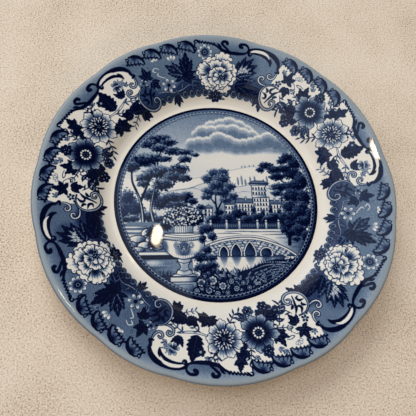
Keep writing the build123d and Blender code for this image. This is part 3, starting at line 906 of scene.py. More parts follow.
def left_trees(ink):
    """The thicket at the far left and the two tall trees over it."""
    foliage(ink, [(-63, -1, 6, 9.5), (-58, -7, 7, 7), (-66, -9, 4, 7)], 0.86, 0.62, 0.9)
    foliage(ink, [(-60, -14.4, 6, 3), (-66, -15, 4, 2.4), (-49, -12.4, 6.4, 4.4), (-43, -15, 5, 3.4)], 0.9,
            0.34, 0.8)
    foliage(ink, [(-40, -3, 8, 5), (-46.5, 3, 7, 5.4), (-33, 0.6, 9, 4.6), (-22.6, 1.6, 6, 4.6),
                  (-17.8, -1.6, 4, 3), (-29, -4.6, 8, 3.4), (-12.4, -6, 3.4, 2.8), (-14, -11.4, 4, 4.6)],
            0.95, 0.56, 0.95)
    trunks = (([(-52.4, -17.4), (-53, -9), (-54.6, -1), (-57.2, 6), (-60, 13), (-60.6, 21)],
               (2.4, 1.8, 1.4, 1, 0.6)),
              ([(-54.4, -2), (-51, 6.6), (-47.6, 15), (-42, 24)], (1.7, 1.2, 0.8, 0.4)),
              ([(-45.4, -16), (-47, -8), (-46, 0), (-44.4, 8.6), (-42.8, 16.6), (-41.8, 30), (-38, 41)],
               (2.1, 1.7, 1.4, 1.1, 0.9, 0.6, 0.3)),
              ([(-44, 12), (-37, 20), (-29, 26), (-20.6, 31.6)], (1.1, 0.8, 0.6, 0.3)),
              ([(-43, 24), (-47.4, 30), (-54, 33)], (0.9, 0.6, 0.3)))
    for path, widths in trunks:
        run = smooth(path)
        ink.line(run, [w + 0.5 for w in widths], 0.93)
    foliage(ink, [(-53.2, 29.4, 10.8, 6.4), (-60, 24, 6, 4.4), (-44.6, 31, 7, 4.4), (-41.4, 46.4, 9.6, 4.2),
                  (-48.4, 42, 7, 4), (-34.4, 43.6, 6.4, 3.4), (-41, 38.6, 7, 3.6), (-31, 36.8, 7.6, 3.8),
                  (-22.6, 36, 6, 2.8), (-15.4, 34, 3.4, 2), (-22.6, 30.6, 5.4, 3.2), (-36.6, 30.6, 5, 2.8)],
            0.94, 0.44)
    foliage(ink, [(-40.8, 20.6, 12.4, 5.8), (-51.6, 16, 6.4, 4.6), (-27.4, 22.6, 8.4, 4.6),
                  (-31, 17, 7.6, 4.4), (-23.4, 15.8, 5.4, 3.4), (-38.8, 10.8, 8.4, 5.2),
                  (-52.6, 11.4, 4.8, 3)], 0.95, 0.42)
    for path, widths in (trunks[0], trunks[2]):
        run = smooth(path)
        ink.line(run[: len(run) * 3 // 5] + (-0.25, 0), [0.42 * w for w in widths], 0.12)


def middle_tree(ink):
    """The paler tree in the middle."""
    for path, widths in (
        ([(-2, -17), (-0.6, -10), (-1.6, -3), (-1.2, 8)], (2.2, 1.6, 1.2, 0.5)),
        ([(-1, -9), (3, -1), (6, 6)], (1.4, 0.9, 0.4)), ([(-1.4, -4), (-5.6, 2), (-7, 8)], (1.2, 0.8, 0.3)),
    ):
        ink.line(smooth(path), widths, 0.93)
    foliage(ink, [(-1.4, 20, 6, 4), (4.4, 20.6, 4.8, 3.6), (-6.6, 15.6, 5.4, 3.8), (3.2, 15, 7, 5),
                  (8.6, 9.6, 5, 3.8), (-5.4, 6, 6.6, 4), (3.6, 5.4, 7, 4.6), (11, 2.6, 4.2, 2.8),
                  (-0.6, 10.6, 6, 4), (-8, 1.6, 4.2, 2.4), (5.6, -0.6, 4.6, 2.4)], 0.88, 0.42, 0.9)


def right_tree(ink):
    """A dark spreading tree at the water's edge."""
    ink.line(smooth([(49.4, -33), (50.6, -22), (52, -8), (55, 8), (57, 26)]), (2.6, 2.4, 2.2, 1.6, 0.8), 0.95)
    ink.line(smooth([(55, 6), (48, 14), (38, 21)]), (1.4, 1, 0.5), 0.95)
    foliage(ink, [(53.4, 32.6, 6.4, 4), (48.6, 29.6, 4, 2.6), (58.4, 27.6, 6.6, 5.4), (36.4, 26, 6, 3.4),
                  (32, 22.4, 3.4, 2.2), (43, 22.8, 6.4, 3.8), (44.6, 17.4, 7, 3.6), (56, 19.6, 8, 5.4),
                  (62, 13.4, 6.6, 8), (50.6, 24, 5, 3.4)], 0.97, 0.72)
    foliage(ink, [(46, 9.6, 8, 3.6), (55, 10, 8, 5), (43.4, 4.6, 5, 2.6), (54.4, 2.6, 9.4, 6.4),
                  (63, 1, 5.6, 8), (52, -5.4, 7, 5.4), (60.6, -8.4, 7.6, 7.6), (53, -13.4, 6.6, 5),
                  (60.6, -17, 6.6, 5), (49.4, -18.6, 4.6, 3.6), (65.6, -13, 3, 7)], 0.97, 0.66)
    foliage(ink, [(50.6, -24.6, 5, 4), (57.4, -23, 5.4, 4.6), (46.4, -22.6, 3, 2.6), (61.6, -27, 3.6, 4.4),
                  (54.4, -29.4, 3.4, 2)], 0.97, 0.66)


def terrace(ink):
    """Water, steps and boulders on the left."""
    water = smooth([(-66, -18), (-44, -17), (-34, -20), (-22, -30), (-20, -58), (-40, -66), (-60, -48),
                    (-70, -30)], True)
    ink.fill(water, 0.5, root=[(-66, -58), (-36, -34)], root_tone=0.96)
    for n in range(26):
        y = -41.6 - 0.95 * n
        x0 = -64 + 0.9 * n + 5 * math.sin(2.1 * n)
        ink.line([(x0, y), (x0 + 24 + 7 * math.cos(1.3 * n), y)], (0.1, 0.8, 0.1), 0.92 if n % 3 else 0.05,
                 0.8)
    ink.dab(-46.6, -45.4, 6, 1.9, 0, 0.02, 0.7, 2.4)
    for n, (x0, x1, y, high) in enumerate(((-67.5, -50, -19.4, 1.8), (-67, -47, -22, 2.2),
                                           (-66, -44, -25, 2.6))):
        stone(ink, x0, y - high, x1, y, 0.10, 0.85, 0.5)
    for x, y, wide, high, lean in (
        (-57, -28.6, 6, 2.8, 8), (-61, -32.2, 4.6, 2.4, -4), (-51.6, -33, 5.4, 2.8, 10),
        (-46, -28.8, 5, 3.2, -8), (-43.4, -34, 5, 2.8, 4), (-56.4, -35.8, 5.4, 2, 0),
        (-50, -23.6, 4.4, 2.6, 20),
    ):
        rock = at(x, y, lean)
        shape = rock(smooth([(-wide, -0.6 * high), (-0.7 * wide, 0.7 * high), (0.1 * wide, high),
                             (0.9 * wide, 0.5 * high), (wide, -0.7 * high), (0, -high)], True, 4))
        ink.fill(shape, 0.03, 0.95, 0.6, root=rock([(wide, -high), (-0.3 * wide, 0.6 * high)]),
                 root_tone=0.85)
        for k in range(3):
            ink.line(rock([(-0.5 * wide + 0.5 * k * wide, -0.7 * high),
                           (-0.3 * wide + 0.5 * k * wide, 0.2 * high)]), (0.35, 0.1), 0.6)
    foliage(ink, [(-46.4, -24.6, 4.6, 5.6), (-45, -31.4, 4.8, 5.6)], 0.98, 0.8, 0.7)
    ink.fill([(-57, -40.2), (-26, -40.2), (-26, -37.6), (-60, -37.6)], 0.05, 0.9, 0.4)
    ink.fill([(-56, -43), (-26, -43), (-26, -40.2), (-57.4, -40.2)], 0.93, 0.97)


# half width and height of the bowl, stem and foot
URN = ((13.4, -24.4), (13.6, -25.6), (15.2, -27.2), (15.5, -28.6), (14.4, -30), (14.6, -32.4),
       (13.6, -35.6), (10.6, -39.2), (6.6, -42.2), (4.6, -43.4), (5.4, -44.6), (4, -45.6), (3, -47.6),
       (3.4, -49.4), (5.2, -50.8), (5.8, -52.4), (8.2, -53.4), (8.4, -55))


def urn(ink):
    """A garden urn of flowers on its plinth."""
    x0 = -24.8
    foliage(ink, [(-25.4, -11.6, 12.6, 7.4), (-35.6, -14, 5, 5), (-14.6, -15, 5.4, 4.6),
                  (-36.6, -19, 4.6, 4.4), (-25, -17.8, 12, 4)], 0.97, 0.8, 0.75)
    for n in range(124):
        far, a = math.sqrt((n + 0.5) / 124), GOLDEN * n
        x, y = -26 + 13.6 * far * math.cos(a) - 1.6 * (math.sin(a) < -0.4), -12.6 + 7.2 * far * math.sin(a)
        x, y, size = x + draw(-0.6, 0.6), y + draw(-0.6, 0.6), draw(0.38, 0.72)
        ink.dab(x, y, size, size, 0, 0 if n % 4 else 0.4)
        ink.dab(x + 0.1, y, 0.2 * size, 0.2 * size, 0, 0.6)
    ink.fill([(x0 - 17, -55), (x0 + 16, -55), (x0 + 14, -70), (x0 - 14, -70)], 0.9, soft=1.2)
    stone(ink, x0 - 9.6, -58.4, x0 + 9.6, -55, 0.12, 0.97, 0.9)
    stone(ink, x0 - 8.2, -68.6, x0 + 8.2, -58.4, 0.3, 0.97, 0.95)
    stone(ink, x0 - 6.6, -67.6, x0 + 5.6, -60, 0.4, 0.9, 0.85)
    stone(ink, x0 - 6.8, -24.6, x0 + 6.8, -19.4, 0.08, 0.85, 0.5)
    for k in range(9):
        ink.line([(x0 - 6 + 1.5 * k, -24.4), (x0 - 6 + 1.5 * k, -19.8)], (0.35, 0.45), 0.72)
    half = smooth(URN, steps=4)
    body = np.vstack([half + (x0, 0), (half * (-1, 1) + (x0, 0))[::-1]])
    ink.fill(body, 0.04, 0.97, 0.6, root=[(x0 + 16, -46), (x0 + 1, -30)], root_tone=0.9)
    for x, *shade in ((-12.6, -33.6, 1.7, 4.6, 12, 0.7, 0.9, 1.6), (8.2, -34, 2.8, 4.6, -10, 0.02, 0.9, 1.8),
                      (0, -36, 4.4, 5.6, 0, 0.74, 0.9, 1.6), (-4.6, -36, 1.6, 5, 10, 0.5, 0.8, 1.4),
                      (0, -49, 2.2, 4.4, 0, 0.45, 0.7, 1.6)):
        ink.dab(x0 + x, *shade)
    for y, wide, thick, tone in (
        (-25.8, 13.4, 0.45, 0.75), (-27.4, 15, 0.5, 0.9), (-29.6, 14.4, 0.6, 0.92), (-42.4, 6.4, 0.7, 0.9),
        (-45, 4.6, 0.5, 0.85), (-50.4, 4.8, 0.5, 0.9), (-53.2, 7.8, 0.5, 0.9),
    ):
        bow = smooth([(x0 - wide, y + 0.7), (x0, y - 0.7), (x0 + wide, y + 0.7)])
        ink.line(bow, (thick, thick), tone)
    for k in range(21):
        x = x0 - 13.4 + 1.34 * k
        ink.dab(x, -28.5 - 0.6 * math.cos((x - x0) / 9), 0.42, 0.5, 0, 0.7)
    for k in range(9):
        ink.dab(x0 - 6 + 1.5 * k, -41.2 + 0.045 * (k - 4) ** 2, 0.55, 0.85, 0, 0.03)
    for side in (-1, 1):
        scrollwork = np.array([(0.9, -40), (2.4, -37), (3, -33.8), (5, -31.6), (6.4, -33.2), (5.4, -34.8),
                               (4.2, -34.2)]) * (side, 1) + (x0, 0)
        ink.line(smooth(scrollwork), (0.6, 1.1, 1.2, 0.9), 0.93)
        ink.line(smooth(scrollwork), (0.1, 0.45, 0.5, 0.3), 0.05)
    spray(ink, at(x0, -39.6), ((0, 7.4, 2.8), (26, 5.6, 2.2), (-26, 5.6, 2.2)), 0.05, 0.7, 3, rim=0.9)


def foreground(ink):
    """Dark banks and the flowers nearest to the viewer."""
    foliage(ink, [(-9.4, -21.8, 6, 4.6), (-5, -27, 3.6, 3.6), (-12, -28.6, 3, 3.4)], 0.94, 0.5, 0.85)
    foliage(ink, [(-9, -36.4, 3.6, 3.6), (-13.6, -41.6, 5.4, 4.6), (-7, -42.4, 5.4, 3), (-6, -47.4, 5, 3.6),
                  (-13, -49, 6, 4)], 0.95, 0.52, 0.85)
    bank = smooth([(-13.6, -51.4), (-4, -50.6), (8, -52.6), (20, -50), (28, -46.4), (38, -43.8),
                   (50, -43.6), (58, -40.2), (62, -46), (40, -70), (0, -76), (-14.6, -72)], True)
    ink.fill(bank, 0.90, soft=0.8)
    for n in range(6):
        ink.line(smooth([(17 + 3 * n, -50.4 - 1.5 * n), (28 + 3 * n, -46.4 - 1.5 * n),
                         (40 + 2 * n, -45.6 - 1.7 * n), (53 - 0.4 * n, -46.6 - 2.4 * n)]),
                 (0.15, 0.55, 0.9, 0.2), 0.3 + 0.1 * (n % 3))
    for n in range(17):
        x, y = -17 + 1.9 * n, float(np.interp(-17 + 1.9 * n, [-18, 8, 20, 30, 58],
                                              [-51.6, -54, -51.4, -47.6, -44.6]))
        leaf(ink, at(x, y, draw(-50, 50)), draw(3, 5.6), 1.4, 2, 0.1, 0.04 + 0.4 * (n % 3) / 2, 0.85,
             rim=0.95)
    for n in range(46):
        x = -18 + 1.62 * n
        base = float(np.interp(x, [-18, 8, 20, 30, 58], [-50.6, -53, -50.4, -46.2, -43]))
        lean = draw(-24, 24)
        tall = draw(2, 4.6)
        blade = at(x, base - 0.8, lean)
        ink.fill(blade([(-0.55, 0), (0, tall), (0.55, 0)]), 0.93)
    for n in range(110):
        x = -16 + 62 * ((n * 0.7549) % 1)
        y = -52.4 - 14 * ((n * 0.5698) % 1) + 0.14 * max(0, x - 4)
        if x > 14 and y > -59 + 0.3 * (x - 14):
            continue
        if math.hypot(x, y) < 68:
            leaf(ink, at(x, y, draw(-80, 80)), draw(3, 4.8), 1.5, 2, 0.1, 0.02 + 0.5 * ((n * 0.27) % 1), 0.8)
    for n in range(18):
        x, y = 16 + 2.1 * n, -57.5 + 0.62 * n + 2.2 * math.sin(2.3 * n)
        if math.hypot(x, y) < 68:
            leaf(ink, at(x, y, -60 + 24 * math.sin(n)), 5, 1.9, 2, 0.1, 0.05, 0.7, rim=0.93)
    for x, y, size in (
        (-13.6, -59, 2.9), (-5.8, -57.8, 3.1), (0.8, -61.6, 2.7), (-8.6, -64.4, 2.3), (-2.8, -66.6, 2),
        (6.8, -58.4, 2), (-16.8, -64.6, 2), (10.2, -63.4, 2.1), (-11.6, -54.4, 1.9), (14.8, -59.6, 1.8),
        (19, -62.8, 1.8), (4, -66.2, 1.8),
    ):
        ink.dab(x, y, size + 0.7, size + 0.7, 0, 0.95)
        floret(ink, at(x, y), 7, size, size * 0.78, 0, 0.3, 0.9, 0.9, x * 9, 0.28)
        ink.dab(x, y, 0.4, 0.4, 0, 0.1)
    for n in range(22):
        x, y = -12.6 + 1.3 * (n % 5), -51 - 0.95 * n
        if math.hypot(x, y) < PICTURE - 1:
            leaf(ink, at(x, y, 34 - 40 * math.sin(1.7 * n)), 4.8, 1.7, 2, 0.1, 0.05 + 0.3 * (n % 2), 0.85,
                 rim=0.95)
    for x0, y0, count in ((-41, -54.4, 13), (-13.4, -52, 6)):
        for n in range(count):
            blade = at(x0 + 0.62 * n, y0 - 0.2 * math.sin(1.3 * n), 30 * math.sin(2.3 * n))
            ink.fill(blade([(-0.5, -0.6), (0, 4 + 1.3 * math.sin(1.9 * n)), (0.5, -0.6)]), 0.93)


def edging(ink):
    """The band round the picture: a dark ground with a pale looping thread on it."""
    r, a = np.hypot(ink.x, ink.y), np.arctan2(ink.y, ink.x)
    wave = PICTURE + 0.9 * np.abs(np.sin(a * THREAD_LOOPS / 2)) ** 0.7 - 0.3
    thread = np.clip(0.5 + (0.22 - np.abs(r - wave - 0.75)) / SOFT, 0, 1)
    ground = np.interp(ink.y, [-10, 45], [0.93, 0.68])
    ink.ink += (ground - ink.ink) * np.clip(0.5 + (r - wave) / SOFT, 0, 1)
    rim = np.clip(0.5 + (0.25 - np.abs(r - wave - 0.2)) / SOFT, 0, 1)
    ink.ink += (0.96 - ink.ink) * 0.85 * rim
    turn = np.linspace(0, 2 * math.pi, 13)
    for n in range(THREAD_LOOPS):
        along = (n + turn / (2 * math.pi) + 0.34 * np.sin(turn)) * 2 * math.pi / THREAD_LOOPS
        reach = PICTURE + 1.95 + 1 * np.cos(turn)
        ink.line(np.column_stack([reach * np.cos(along), reach * np.sin(along)]), (0.28, 0.28), 0.35, 0.75)
    ink.ink += (0.1 - ink.ink) * 0.8 * thread
    outer = np.clip(0.5 + (r - PICTURE - 3.6) / SOFT, 0, 1) * np.clip(0.5 + (72.75 - r) / SOFT, 0, 1)
    ink.ink += (0.97 - ink.ink) * outer


def centre_canvas():
    """A square grid that the centre picture is painted on."""
    spacing, half = CANVAS_SPACING, CANVAS_HALF
    axis = np.arange(-half, half + spacing / 2, spacing)
    x, y = np.meshgrid(axis, axis, indexing="xy")

    def locate(points, reach):
        low = ((points.min(axis=0) - reach + half) / spacing).astype(int)
        high = ((points.max(axis=0) + reach + half) / spacing).astype(int) + 2
        low, high = np.maximum(low, 0), np.minimum(high, len(axis))
        if (low >= high).any():
            return None
        return slice(low[1], high[1]), slice(low[0], high[0])

    return Print(x, y, locate)


CENTRE_PARTS = (sky_and_clouds, hills, house, park, bridge, left_trees, middle_tree, right_tree, terrace,
                urn, foreground, edging)


# ---------------------------------------------------------------- materials
def linear(red, green, blue):
    """A colour given in 0 to 255, as a shader wants it."""
    shares = (red / 255, green / 255, blue / 255)
    return tuple(s / 12.92 if s <= 10 / 255 else ((s + 0.055) / 1.055) ** 2.4 for s in shares)


CREAM = linear(226, 220, 206)
PRINT_TONES = [(0.0, CREAM), (0.25, linear(168, 177, 185)), (0.5, linear(94, 114, 136)),
               (0.74, linear(33, 51, 86)), (0.93, linear(1, 7, 36))]
TINT_TONES = [(0.0, CREAM), (0.3, linear(152, 162, 167)), (0.5, linear(103, 119, 132)),
              (1.0, linear(2, 5, 29))]
CLAY_TONES = [(0.3, linear(224, 217, 201)), (0.55, CREAM), (0.8, linear(233, 228, 215))]
BARE_TONES = [(0.3, linear(150, 132, 108)), (0.5, linear(205, 192, 170)), (0.75, linear(222, 212, 193))]
FLOOR_TONES = [(0.36, linear(120, 100, 78)), (0.44, linear(196, 178, 154)), (0.5, linear(216, 201, 180)),
               (0.6, linear(230, 218, 201))]
GLAZE_LOOK = {"Roughness": 0.32, "Coat Weight": 1.0, "Coat Roughness": 0.02, "Coat IOR": 1.5,
              "Specular IOR Level": 0.0}


class Shading:
    """The nodes of a material or a world, and the few kinds that this scene joins up in them."""

    def __init__(self, tree):
        self.nodes, self.links = tree.nodes, tree.links

    def add(self, kind, **settings):
        made = self.nodes.new("ShaderNode" + kind)
        for key, value in settings.items():
            setattr(made, key, value)
        return made

    def feed(self, sockets, values):
        for socket, value in zip(sockets, values):
            if isinstance(value, (int, float)):
                socket.default_value = value
            else:
                self.links.new(value, socket)

    def math(self, operation, a, b):
        made = self.add("Math", operation=operation)
        self.feed(made.inputs, (a, b))
        return made.outputs[0]

    def noise(self, scale, detail, roughness=0.5, seed=0.0):
        made = self.add("TexNoise", noise_dimensions="4D")
        place = self.add("TexCoord").outputs["Object"]
        sockets = [made.inputs[key] for key in ("Vector", "W", "Scale", "Detail", "Roughness")]
        self.feed(sockets, (place, seed, scale, detail, roughness))
        return made.outputs[0]

    def ramp(self, source, stops):
        made = self.add("ValToRGB")
        marks = made.color_ramp.elements
        marks[0].position, marks[0].color = stops[0][0], (*stops[0][1], 1)
        marks[1].position, marks[1].color = stops[-1][0], (*stops[-1][1], 1)
        for place, colour in stops[1:-1]:
            marks.new(place).color = (*colour, 1)
        self.links.new(source, made.inputs[0])
        return made.outputs[0]


class Look(Shading):
    """A material with its colours and bumps."""

    def __init__(self, name, **values):
        self.material = bpy.data.materials.new(name)
        self.material.use_nodes = True
        super().__init__(self.material.node_tree)
        self.shader = self.nodes["Principled BSDF"]
        for key, value in values.items():
            self.shader.inputs[key].default_value = value

    def colour(self, source, stops):
        self.links.new(self.ramp(source, stops), self.shader.inputs["Base Color"])

    def bump(self, source, strength, distance, sockets=("Normal",)):
        made = self.add("Bump")
        self.feed([made.inputs[key] for key in ("Strength", "Distance", "Height")],
                  (strength, distance, source))
        for socket in sockets:
            self.links.new(made.outputs[0], self.shader.inputs[socket])

    def glaze_bump(self):
        """The slow waves and the fine unevenness of a fired glaze."""
        fine = self.math("MULTIPLY", self.noise(420.0, 2.0, 0.6, 3.0), 0.008)
        waves = self.math("ADD", self.noise(38.0, 1.0), fine)
        self.bump(waves, 0.10, 0.002, ("Normal", "Coat Normal"))


def ink_material(name, tones, grain):
    """Under-glaze ink, whose depth is the mesh's own ink, broken up like a stipple engraving. On the border
    and the lip, that ink also holds painted shade and painted sheen.
    """
    look = Look(name, **GLAZE_LOOK)
    depth = look.add("Attribute", attribute_name="ink").outputs["Fac"]
    # the stipple is strongest in the half tones and leaves bare clay and full ink alone
    half_tone = look.math("MULTIPLY", look.math("MULTIPLY", depth, look.math("SUBTRACT", 1.0, depth)), 4.0)
    stipple = look.math("SUBTRACT", look.noise(1900.0, 1.0, 0.5, 1.0), 0.5)
    stipple = look.math("MULTIPLY", look.math("MULTIPLY", stipple, grain), half_tone)
    uneven = look.math("SUBTRACT", look.noise(26.0, 3.0, 0.6, 2.0), 0.5)
    uneven = look.math("MULTIPLY", look.math("MULTIPLY", uneven, 0.22), look.math("MINIMUM", depth, 0.6))
    look.colour(look.math("ADD", depth, look.math("ADD", stipple, uneven)), tones)
    look.glaze_bump()
    return look.material


def glazed_clay():
    look = Look("glazed_clay", **GLAZE_LOOK)
    look.colour(look.noise(60.0, 4.0, 0.6, 5.0), CLAY_TONES)
    look.glaze_bump()
    return look.material


def bare_clay():
    look = Look("bare_clay", Roughness=0.85)
    grit = look.noise(900.0, 4.0, 0.7, 6.0)
    look.colour(grit, BARE_TONES)
    look.bump(grit, 0.5, 0.0004)
    return look.material


def pale_floor():
    look = Look("pale_floor", Roughness=0.75)
    speckle = look.noise(900.0, 3.0, 0.7, 8.0)
    cloudy = look.math("MULTIPLY", look.noise(14.0, 4.0, 0.6, 9.0), 0.2)
    look.colour(look.math("ADD", look.math("MULTIPLY", speckle, 0.8), cloudy), FLOOR_TONES)
    look.bump(speckle, 0.25, 0.0006)
    return look.material


# ---------------------------------------------------------------- meshes
def mesh_object(name, points, faces, material):
    """A smooth-shaded object of points in mm. faces all have the same number of corners."""
    mesh = bpy.data.meshes.new(name)
    mesh.vertices.add(len(points))
    mesh.vertices.foreach_set("co", np.asarray(points, dtype=np.float32).ravel() * MM)
    faces = np.asarray(faces)
    mesh.loops.add(faces.size)
    mesh.loops.foreach_set("vertex_index", faces.ravel().astype(np.int32))
    mesh.polygons.add(len(faces))
    mesh.polygons.foreach_set("loop_start", np.arange(0, faces.size, faces.shape[1], dtype=np.int32))
    mesh.polygons.foreach_set("loop_total", np.full(len(faces), faces.shape[1], dtype=np.int32))
    mesh.update(calc_edges=True)
    mesh.validate()
    mesh.polygons.foreach_set("use_smooth", np.ones(len(mesh.polygons), dtype=bool))
    mesh.materials.append(material)
    piece = bpy.data.objects.new(name, mesh)
    bpy.context.scene.collection.objects.link(piece)
    return piece


def with_ink(piece, depth):
    attribute = piece.data.attributes.new("ink", "FLOAT", "POINT")
    attribute.data.foreach_set("value", np.asarray(depth, dtype=np.float32).ravel())


def finish_piece(piece, slot_name, *nodes):
    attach(piece, "root")
    if nodes:
        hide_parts(*nodes)


def lathe(rows, angles):
    """Points and faces of a closed ring of sections."""
    turn = np.radians(angles)[:, None]
    points = np.stack([rows[:, :, 0] * np.cos(turn), rows[:, :, 0] * np.sin(turn), rows[:, :, 1]], axis=2)
    around, along = rows.shape[:2]
    i, j = np.meshgrid(np.arange(around), np.arange(along - 1), indexing="ij")
    after = (i + 1) % around
    faces = np.stack([i * along + j, after * along + j, after * along + j + 1, i * along + j + 1], axis=2)
    return points.reshape(-1, 3), faces.reshape(-1, 4)[:, ::-1]


def disc(radius, rings):
    """Points and triangles of a disc whose ring k has 6k points."""
    points, faces = [np.zeros((1, 2))], []
    for k in range(1, rings + 1):
        here = np.arange(6 * k)
        a = here * math.pi / (3 * k)
        points.append(np.stack([np.cos(a), np.sin(a)], axis=1) * radius * k / rings)
        outer, inner = 1 + 3 * k * (k - 1), 1 + 3 * (k - 1) * (k - 2)
        side, step = np.divmod(here, k)
        near = side * (k - 1) + step
        # the ring inside this one, which is the middle point for the first
        count = max(1, 6 * (k - 1))
        first = inner if k > 1 else 0
        ahead = outer + (here + 1) % (6 * k)
        faces.append(np.stack([outer + here, ahead, first + near % count], axis=1))
        faces.append(np.stack([first + near % count, ahead, first + (near + 1) % count],
                              axis=1)[step < k - 1])
    return np.vstack(points), np.vstack(faces)


# ---------------------------------------------------------------- clay body
BODY_LIFT, PRINT_LIFT = 0.15, 0.27  # mm over the clay: the glaze, and the inks seen in it
BODY_STEP, TINT_STEP = 0.5, 0.25  # degrees between sections
MIDDLE_HOLE = 0.5  # mm, where the sections end near the axis
FINER_ROWS, FINER_TOWARD_LIP = 34, 1.6
CORNER_STEPS = 9
FOOT_FACE_TOP = 0.0006  # m, the glaze is wiped off the foot ring below this height
ROLL_DEPTH = 3.0  # mm under the rim's upper face over which the roll fades out
SPUR_CIRCLE = 97.0
SPUR_RADIUS = 0.95
SPUR_RINGS = ((0.0, 0.16), (0.45, 0.12), (0.8, 0.05), (1.0, -0.06))  # share of the radius, mm off the glaze
SPUR_POINTS = 18


def section_at(degrees, lift):
    """The plate's section from the middle of the well round the lip to the middle of the underside."""
    radius = float(outline(degrees))
    lip = [((radius, rim_height(radius)), LIP_ROUNDING), ((radius, under_height(radius)), LIP_ROUNDING)]
    corners = TOP_CORNERS + lip + UNDER_CORNERS
    rows = rounded(corners, (MIDDLE_HOLE, WELL_HEIGHT), (MIDDLE_HOLE, WELL_UNDERSIDE), CORNER_STEPS)
    # the rim's long upper face, divided more finely toward the lip
    before = len(TOP_CORNERS) * CORNER_STEPS
    shares = 1 - np.linspace(1, 0, FINER_ROWS)[1:-1, None] ** FINER_TOWARD_LIP
    face = rows[before] + (rows[before + 1] - rows[before]) * shares
    rows = grown(np.vstack([rows[: before + 1], face, rows[before + 1 :]]), lift)
    share = np.clip((rows[:, 1] - rim_height(rows[:, 0]) + ROLL_DEPTH) / ROLL_DEPTH, 0, 1)
    share[rows[:, 0] < SHOULDER[0]] = 0
    rows[:, 1] = np.maximum(rows[:, 1] - share * rim_drop(rows[:, 0], degrees), 0.02)
    return rows


def glazed_body():
    angles = np.arange(0, 360, BODY_STEP)
    rows = np.array([section_at(degrees, BODY_LIFT) for degrees in angles])
    points, faces = lathe(rows, angles)
    # the small holes left in the middle are closed by fans
    around, along = rows.shape[:2]
    first = np.arange(around) * along
    middle_top, middle_under = len(points), len(points) + 1
    points = np.vstack([points, [(0, 0, WELL_HEIGHT + BODY_LIFT), (0, 0, WELL_UNDERSIDE - BODY_LIFT)]])
    body = mesh_object("glazed_body", points, faces, glazed)
    shape = bmesh.new()
    shape.from_mesh(body.data)
    shape.verts.ensure_lookup_table()
    for near, far in zip(first, np.roll(first, -1)):
        for corners in ((middle_top, near, far), (middle_under, far + along - 1, near + along - 1)):
            shape.faces.new([shape.verts[i] for i in corners]).smooth = True
    for face in shape.faces:
        face.material_index = 1 if face.calc_center_median().z < FOOT_FACE_TOP else 0
    shape.to_mesh(body.data)
    shape.free()
    body.data.materials.append(bare)
    finish_piece(body, "biscuit", "earthenware_body", "glaze_outer", "glaze_foot_well")


def spur_mark(number, degrees):
    """An unglazed speck where the plate rested on a spur in the kiln."""
    rows = section_at(degrees, BODY_LIFT)
    lower = rows[np.argmax(rows[:, 0]) :]
    height = float(np.interp(-SPUR_CIRCLE, -lower[:, 0], lower[:, 1]))
    a, slope = math.radians(degrees), math.atan(UNDER_RISE)
    points = []
    for share, rise in SPUR_RINGS:
        for k in range(SPUR_POINTS):
            t = 2 * math.pi * k / SPUR_POINTS
            ragged = 1 + 0.12 * math.sin(3 * t + number) + 0.07 * math.sin(5 * t + 2 * number)
            far = SPUR_RADIUS * share * ragged
            out, side = far * math.cos(t), far * math.sin(t)
            r, z = SPUR_CIRCLE + out * math.cos(slope), height + out * math.sin(slope) - rise
            points.append((r * math.cos(a) - side * math.sin(a), r * math.sin(a) + side * math.cos(a), z))
    faces = []
    for k in range(0, SPUR_POINTS * (len(SPUR_RINGS) - 1), SPUR_POINTS):
        for i in range(SPUR_POINTS):
            ahead = (i + 1) % SPUR_POINTS
            faces.append((k + i, k + SPUR_POINTS + i, k + SPUR_POINTS + ahead, k + ahead))
    finish_piece(mesh_object(f"spur_mark_{number}", points, faces, bare), "biscuit")


# ---------------------------------------------------------------- prints
BORDER_INNER, BORDER_OUTER, BORDER_JOIN = 76.0, 120.8, -4.0
BORDER_SPACING = 0.305
FAINTEST = 0.025  # the ink that a border's bare ground still has
SHADE_AND_SHEEN_SHARE = 0.08  # painted shade and painted sheen: a border is darker by this share on the side away from the angle below, and paler toward it
SHEEN_FROM = math.radians(20)
CENTRE_PRINT_RADIUS, CENTRE_RINGS = 72.6, 230
LIP_ROWS_BEFORE, LIP_ROWS_AFTER = 8, 4  # rows of the section that the tint takes on each side of the edge
TINT_ROWS = 8  # rows between the border and the lip
TINT_OUTWARD = (0.385, 0.35)
# ink on the lip's rows: the tint, darkened toward the lip's outermost edge as painted shade
TINT_AND_SHADE_ON_LIP = (0.34, 0.34, 0.38, 0.46, 0.54, 0.60, 0.64, 0.66, 0.66, 0.6, 0.5, 0.45)


def border_prints():
    """One design of 120 degrees, transferred three times round the rim."""
    design, radii, angles = border_print(BORDER_INNER, BORDER_OUTER, BORDER_JOIN, BORDER_JOIN + 120,
                                         BORDER_SPACING)
    border_design(design)
    high, long = len(radii), len(angles)
    i, j = np.meshgrid(np.arange(high - 1), np.arange(long - 1), indexing="ij")
    faces = np.stack([i * long + j, (i + 1) * long + j, (i + 1) * long + j + 1, i * long + j + 1], axis=2)
    for number in range(3):
        rr, aa = np.meshgrid(radii, np.radians(angles + 120 * number), indexing="ij")
        zz = top_height(rr, PRINT_LIFT, np.degrees(aa))
        points = np.stack([rr * np.cos(aa), rr * np.sin(aa), zz], axis=2).reshape(-1, 3)
        section = mesh_object(f"border_print_and_painted_light_section_{number + 1}", points, faces.reshape(-1, 4), print_ink)
        # the print's ink, with painted shade laid over one side of the plate and a painted sheen toward the
        # other
        painted_shade_and_sheen = 1.0 - SHADE_AND_SHEEN_SHARE * np.cos(aa - SHEEN_FROM)
        with_ink(section, np.clip(np.maximum(design.ink, FAINTEST) * painted_shade_and_sheen, 0.0, 1.0))
        finish_piece(section, "cobalt_ink", f"border_print_{number + 1}")


